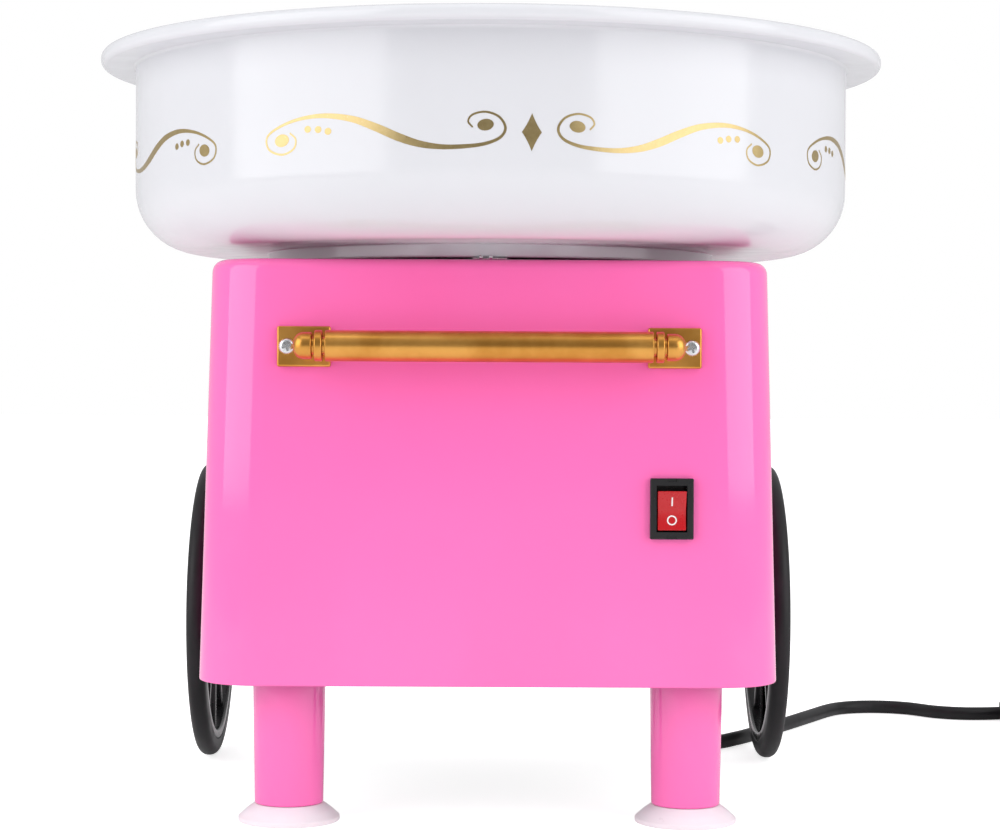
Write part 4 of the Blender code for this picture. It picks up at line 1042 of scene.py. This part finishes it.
# Strain relief: a black rubber boot snapped into the base, ribbed where the lead leaves it.
boot_corners = [
    (0, 0.0553, 0), (0.0064, 0.0553, 0.0004), (0.0064, ABOVE_PLATE, 0), (0.0052, ABOVE_PLATE, 0),
    (0.0052, UNDER_PLATE, 0), (0.0072, UNDER_PLATE, 0.0003), (0.0072, 0.0477, 0.0005), (0.0052, 0.0464, 0.0004),
]
for i in range(5):
    z, r = 0.0446 - 0.0027 * i, 0.0050 - 0.00022 * i
    groove = r - 0.0009
    boot_corners += [(r, z, 0.0002), (groove, z - 0.0004, 0), (groove, z - 0.0012, 0)]
    boot_corners += [(r - 0.0002, z - 0.0016, 0.0002)]
boot = lathe("strain_relief_boot", [*boot_corners, (0.0039, 0.0307, 0.0005), (0, 0.0307, 0)], 48, 3)
settle(moved(boot, at(0.078, 0.070, 0)), "root", black_rubber, "strain_relief")


# Plug: a moulded two-blade plug at the lead's far end, with finger ridges and a tapered neck.
BACK = at(0.307, 0.1263, 0.0065) @ face_out
plug = cuboid("plug_block", (-0.0115, -0.0065, 0.014), (0.0115, 0.0065, 0.038), 0.0024, 5)
neck = lathe("neck", [
    (0, 0.0150, 0), (0.0056, 0.0150, 0), (0.0050, 0.0090, 0.001), (0.0039, 0, 0.0006), (0, 0, 0),
], 40)
ridges = [
    cuboid("ridge", (-0.0118, -0.0040, z), (0.0118, 0.0040, z + 0.0011), 0.0003)
    for z in (0.019, 0.0222, 0.0254)
]
plug = joined("plug_moulding", [plug, neck, *ridges])
settle(moved(plug, BACK), "root", black_rubber, "plug_body", flats=True)


def brass_face(place):
    """Rolled brass, scratched along its length by use."""
    scratch = place.scaled(1, 0.05, 1).noise(4200, 3)
    tarnish = place.noise(220, 3).ramp(0.4, 0.8)
    return {
        "Base Color": tarnish.mix((0.82, 0.66, 0.34), (0.62, 0.46, 0.22)),
        "Metallic": 1.0,
        "Roughness": 0.20 + 0.15 * scratch + 0.1 * tarnish,
        "Normal": scratch.bump(0.000003),
    }


brass = skin("brass", brass_face)
HALF_BLADE = 0.00075
for side, name in SIDES:
    pin = side * 0.00635
    low_corner, high_corner = (pin - HALF_BLADE, -0.0031, 0.0383), (pin + HALF_BLADE, 0.0031, 0.055)
    blade = cuboid(f"plug_blade_{name}_rolled", low_corner, high_corner, 0.0003)
    carve(blade, drill(0.0013, -0.002, 0.002, at(pin, 0, 0.0505) @ out["right"], 24))
    settle(moved(blade, BACK), "root", brass, f"plug_blade_{name}", flats=True)


# Mains lead: a round black rubber lead, down out of the boot, along the ground and away to its spare
# length, which is wound in a coil two turns wide and two high and ends in the plug.
CORD_RADIUS = 0.003
LYING = CORD_RADIUS + 0.0001
EXIT = (0.0780, 0.0700, 0.0304)


def drop(x, y, top, parts):
    """A quarter turn from straight down, at this place, to flat along the ground at 45 degrees."""
    r, turns = top - LYING, [math.pi / 2 * k / parts for k in range(parts + 1)]
    aside = [r * (1 - math.cos(t)) * math.sqrt(0.5) for t in turns]
    return [(x + a, y + a, top - r * math.sin(t)) for a, t in zip(aside, turns)]


def sweep(x, y, r, start, end, parts):
    """An even bend on the ground about a centre, from one angle to another in degrees."""
    turns = [math.radians(start + (end - start) * k / parts) for k in range(parts + 1)]
    return [(x + r * math.cos(t), y + r * math.sin(t), LYING) for t in turns]


route = [
    *drop(*EXIT, 8), (0.1045, 0.0975, LYING), (0.1130, 0.1098, LYING), (0.1240, 0.1285, LYING),
    (0.1360, 0.1488, LYING), (0.1475, 0.1690, LYING), *sweep(0.180, 0.173, 0.026, 147, 36.1, 9),
    *sweep(0.222, 0.2036, 0.026, -143.9, -90, 5)[1:], (0.2340, 0.1785, 0.0032), (0.2450, 0.1811, 0.0035),
]
COIL_X, COIL_Y, START = 0.270, 0.151, 115
wide, tight, bottom, above = 0.0371, 0.0309, 0.0038, 0.0098


def eased(angle, start, end):
    """0 to 1 as the winding passes from one angle to another, with a smooth start and stop."""
    t = min(1, max(0, (angle - start) / (end - start)))
    return t * t * (3 - 2 * t)


steps = 20
for i in range(int((3 * 360 + START) / 360 * steps) + 1):
    wound = i * 360 / steps
    inward = math.pi / 2 * eased(wound, 205, 350)
    upward = math.pi / 2 * eased(wound, 565, 710)
    outward = eased(wound, 835, 950)
    r = wide + (tight - wide) * (1 - math.cos(inward)) + (wide - tight) * outward
    z = bottom + (above - bottom) * math.sin(upward)
    turn = math.radians(START - wound)
    route.append((COIL_X + r * math.cos(turn), COIL_Y + r * math.sin(turn), z))
route += [(0.3071, 0.1430, 0.0096), (0.3070, 0.1350, 0.0082), (0.3070, 0.1263, 0.0065)]
lead = drawn_rod("power_cord_lead", route, CORD_RADIUS, 6, 5)
lead.data.materials.append(black_rubber)
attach(lead, "root")
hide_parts("power_cord", "cord_coil")
length = sum((Vector(a) - Vector(b)).length for a, b in zip(route, route[1:]))


# Tie: a flat white nylon band round the coil.
tie_face = skin("tie", moulded((0.80, 0.80, 0.80), 0.42, 0.000008, 0.03))
tied = at(COIL_X, COIL_Y, 0) @ Matrix.Rotation(math.radians(-70), 4, "Z") @ at(0.034, 0, 0.007)
tie = prism("tie_band", framed(-0.0073, -0.0070, 0.0073, 0.0073, 0.002), 0.005)
carve(tie, prism("inside", framed(-0.0066, -0.0063, 0.0066, 0.0066, 0.0014), 0.02))
tie.name = "cord_tie_band"
settle(moved(tie, tied), "root", tie_face, "cord_tie")
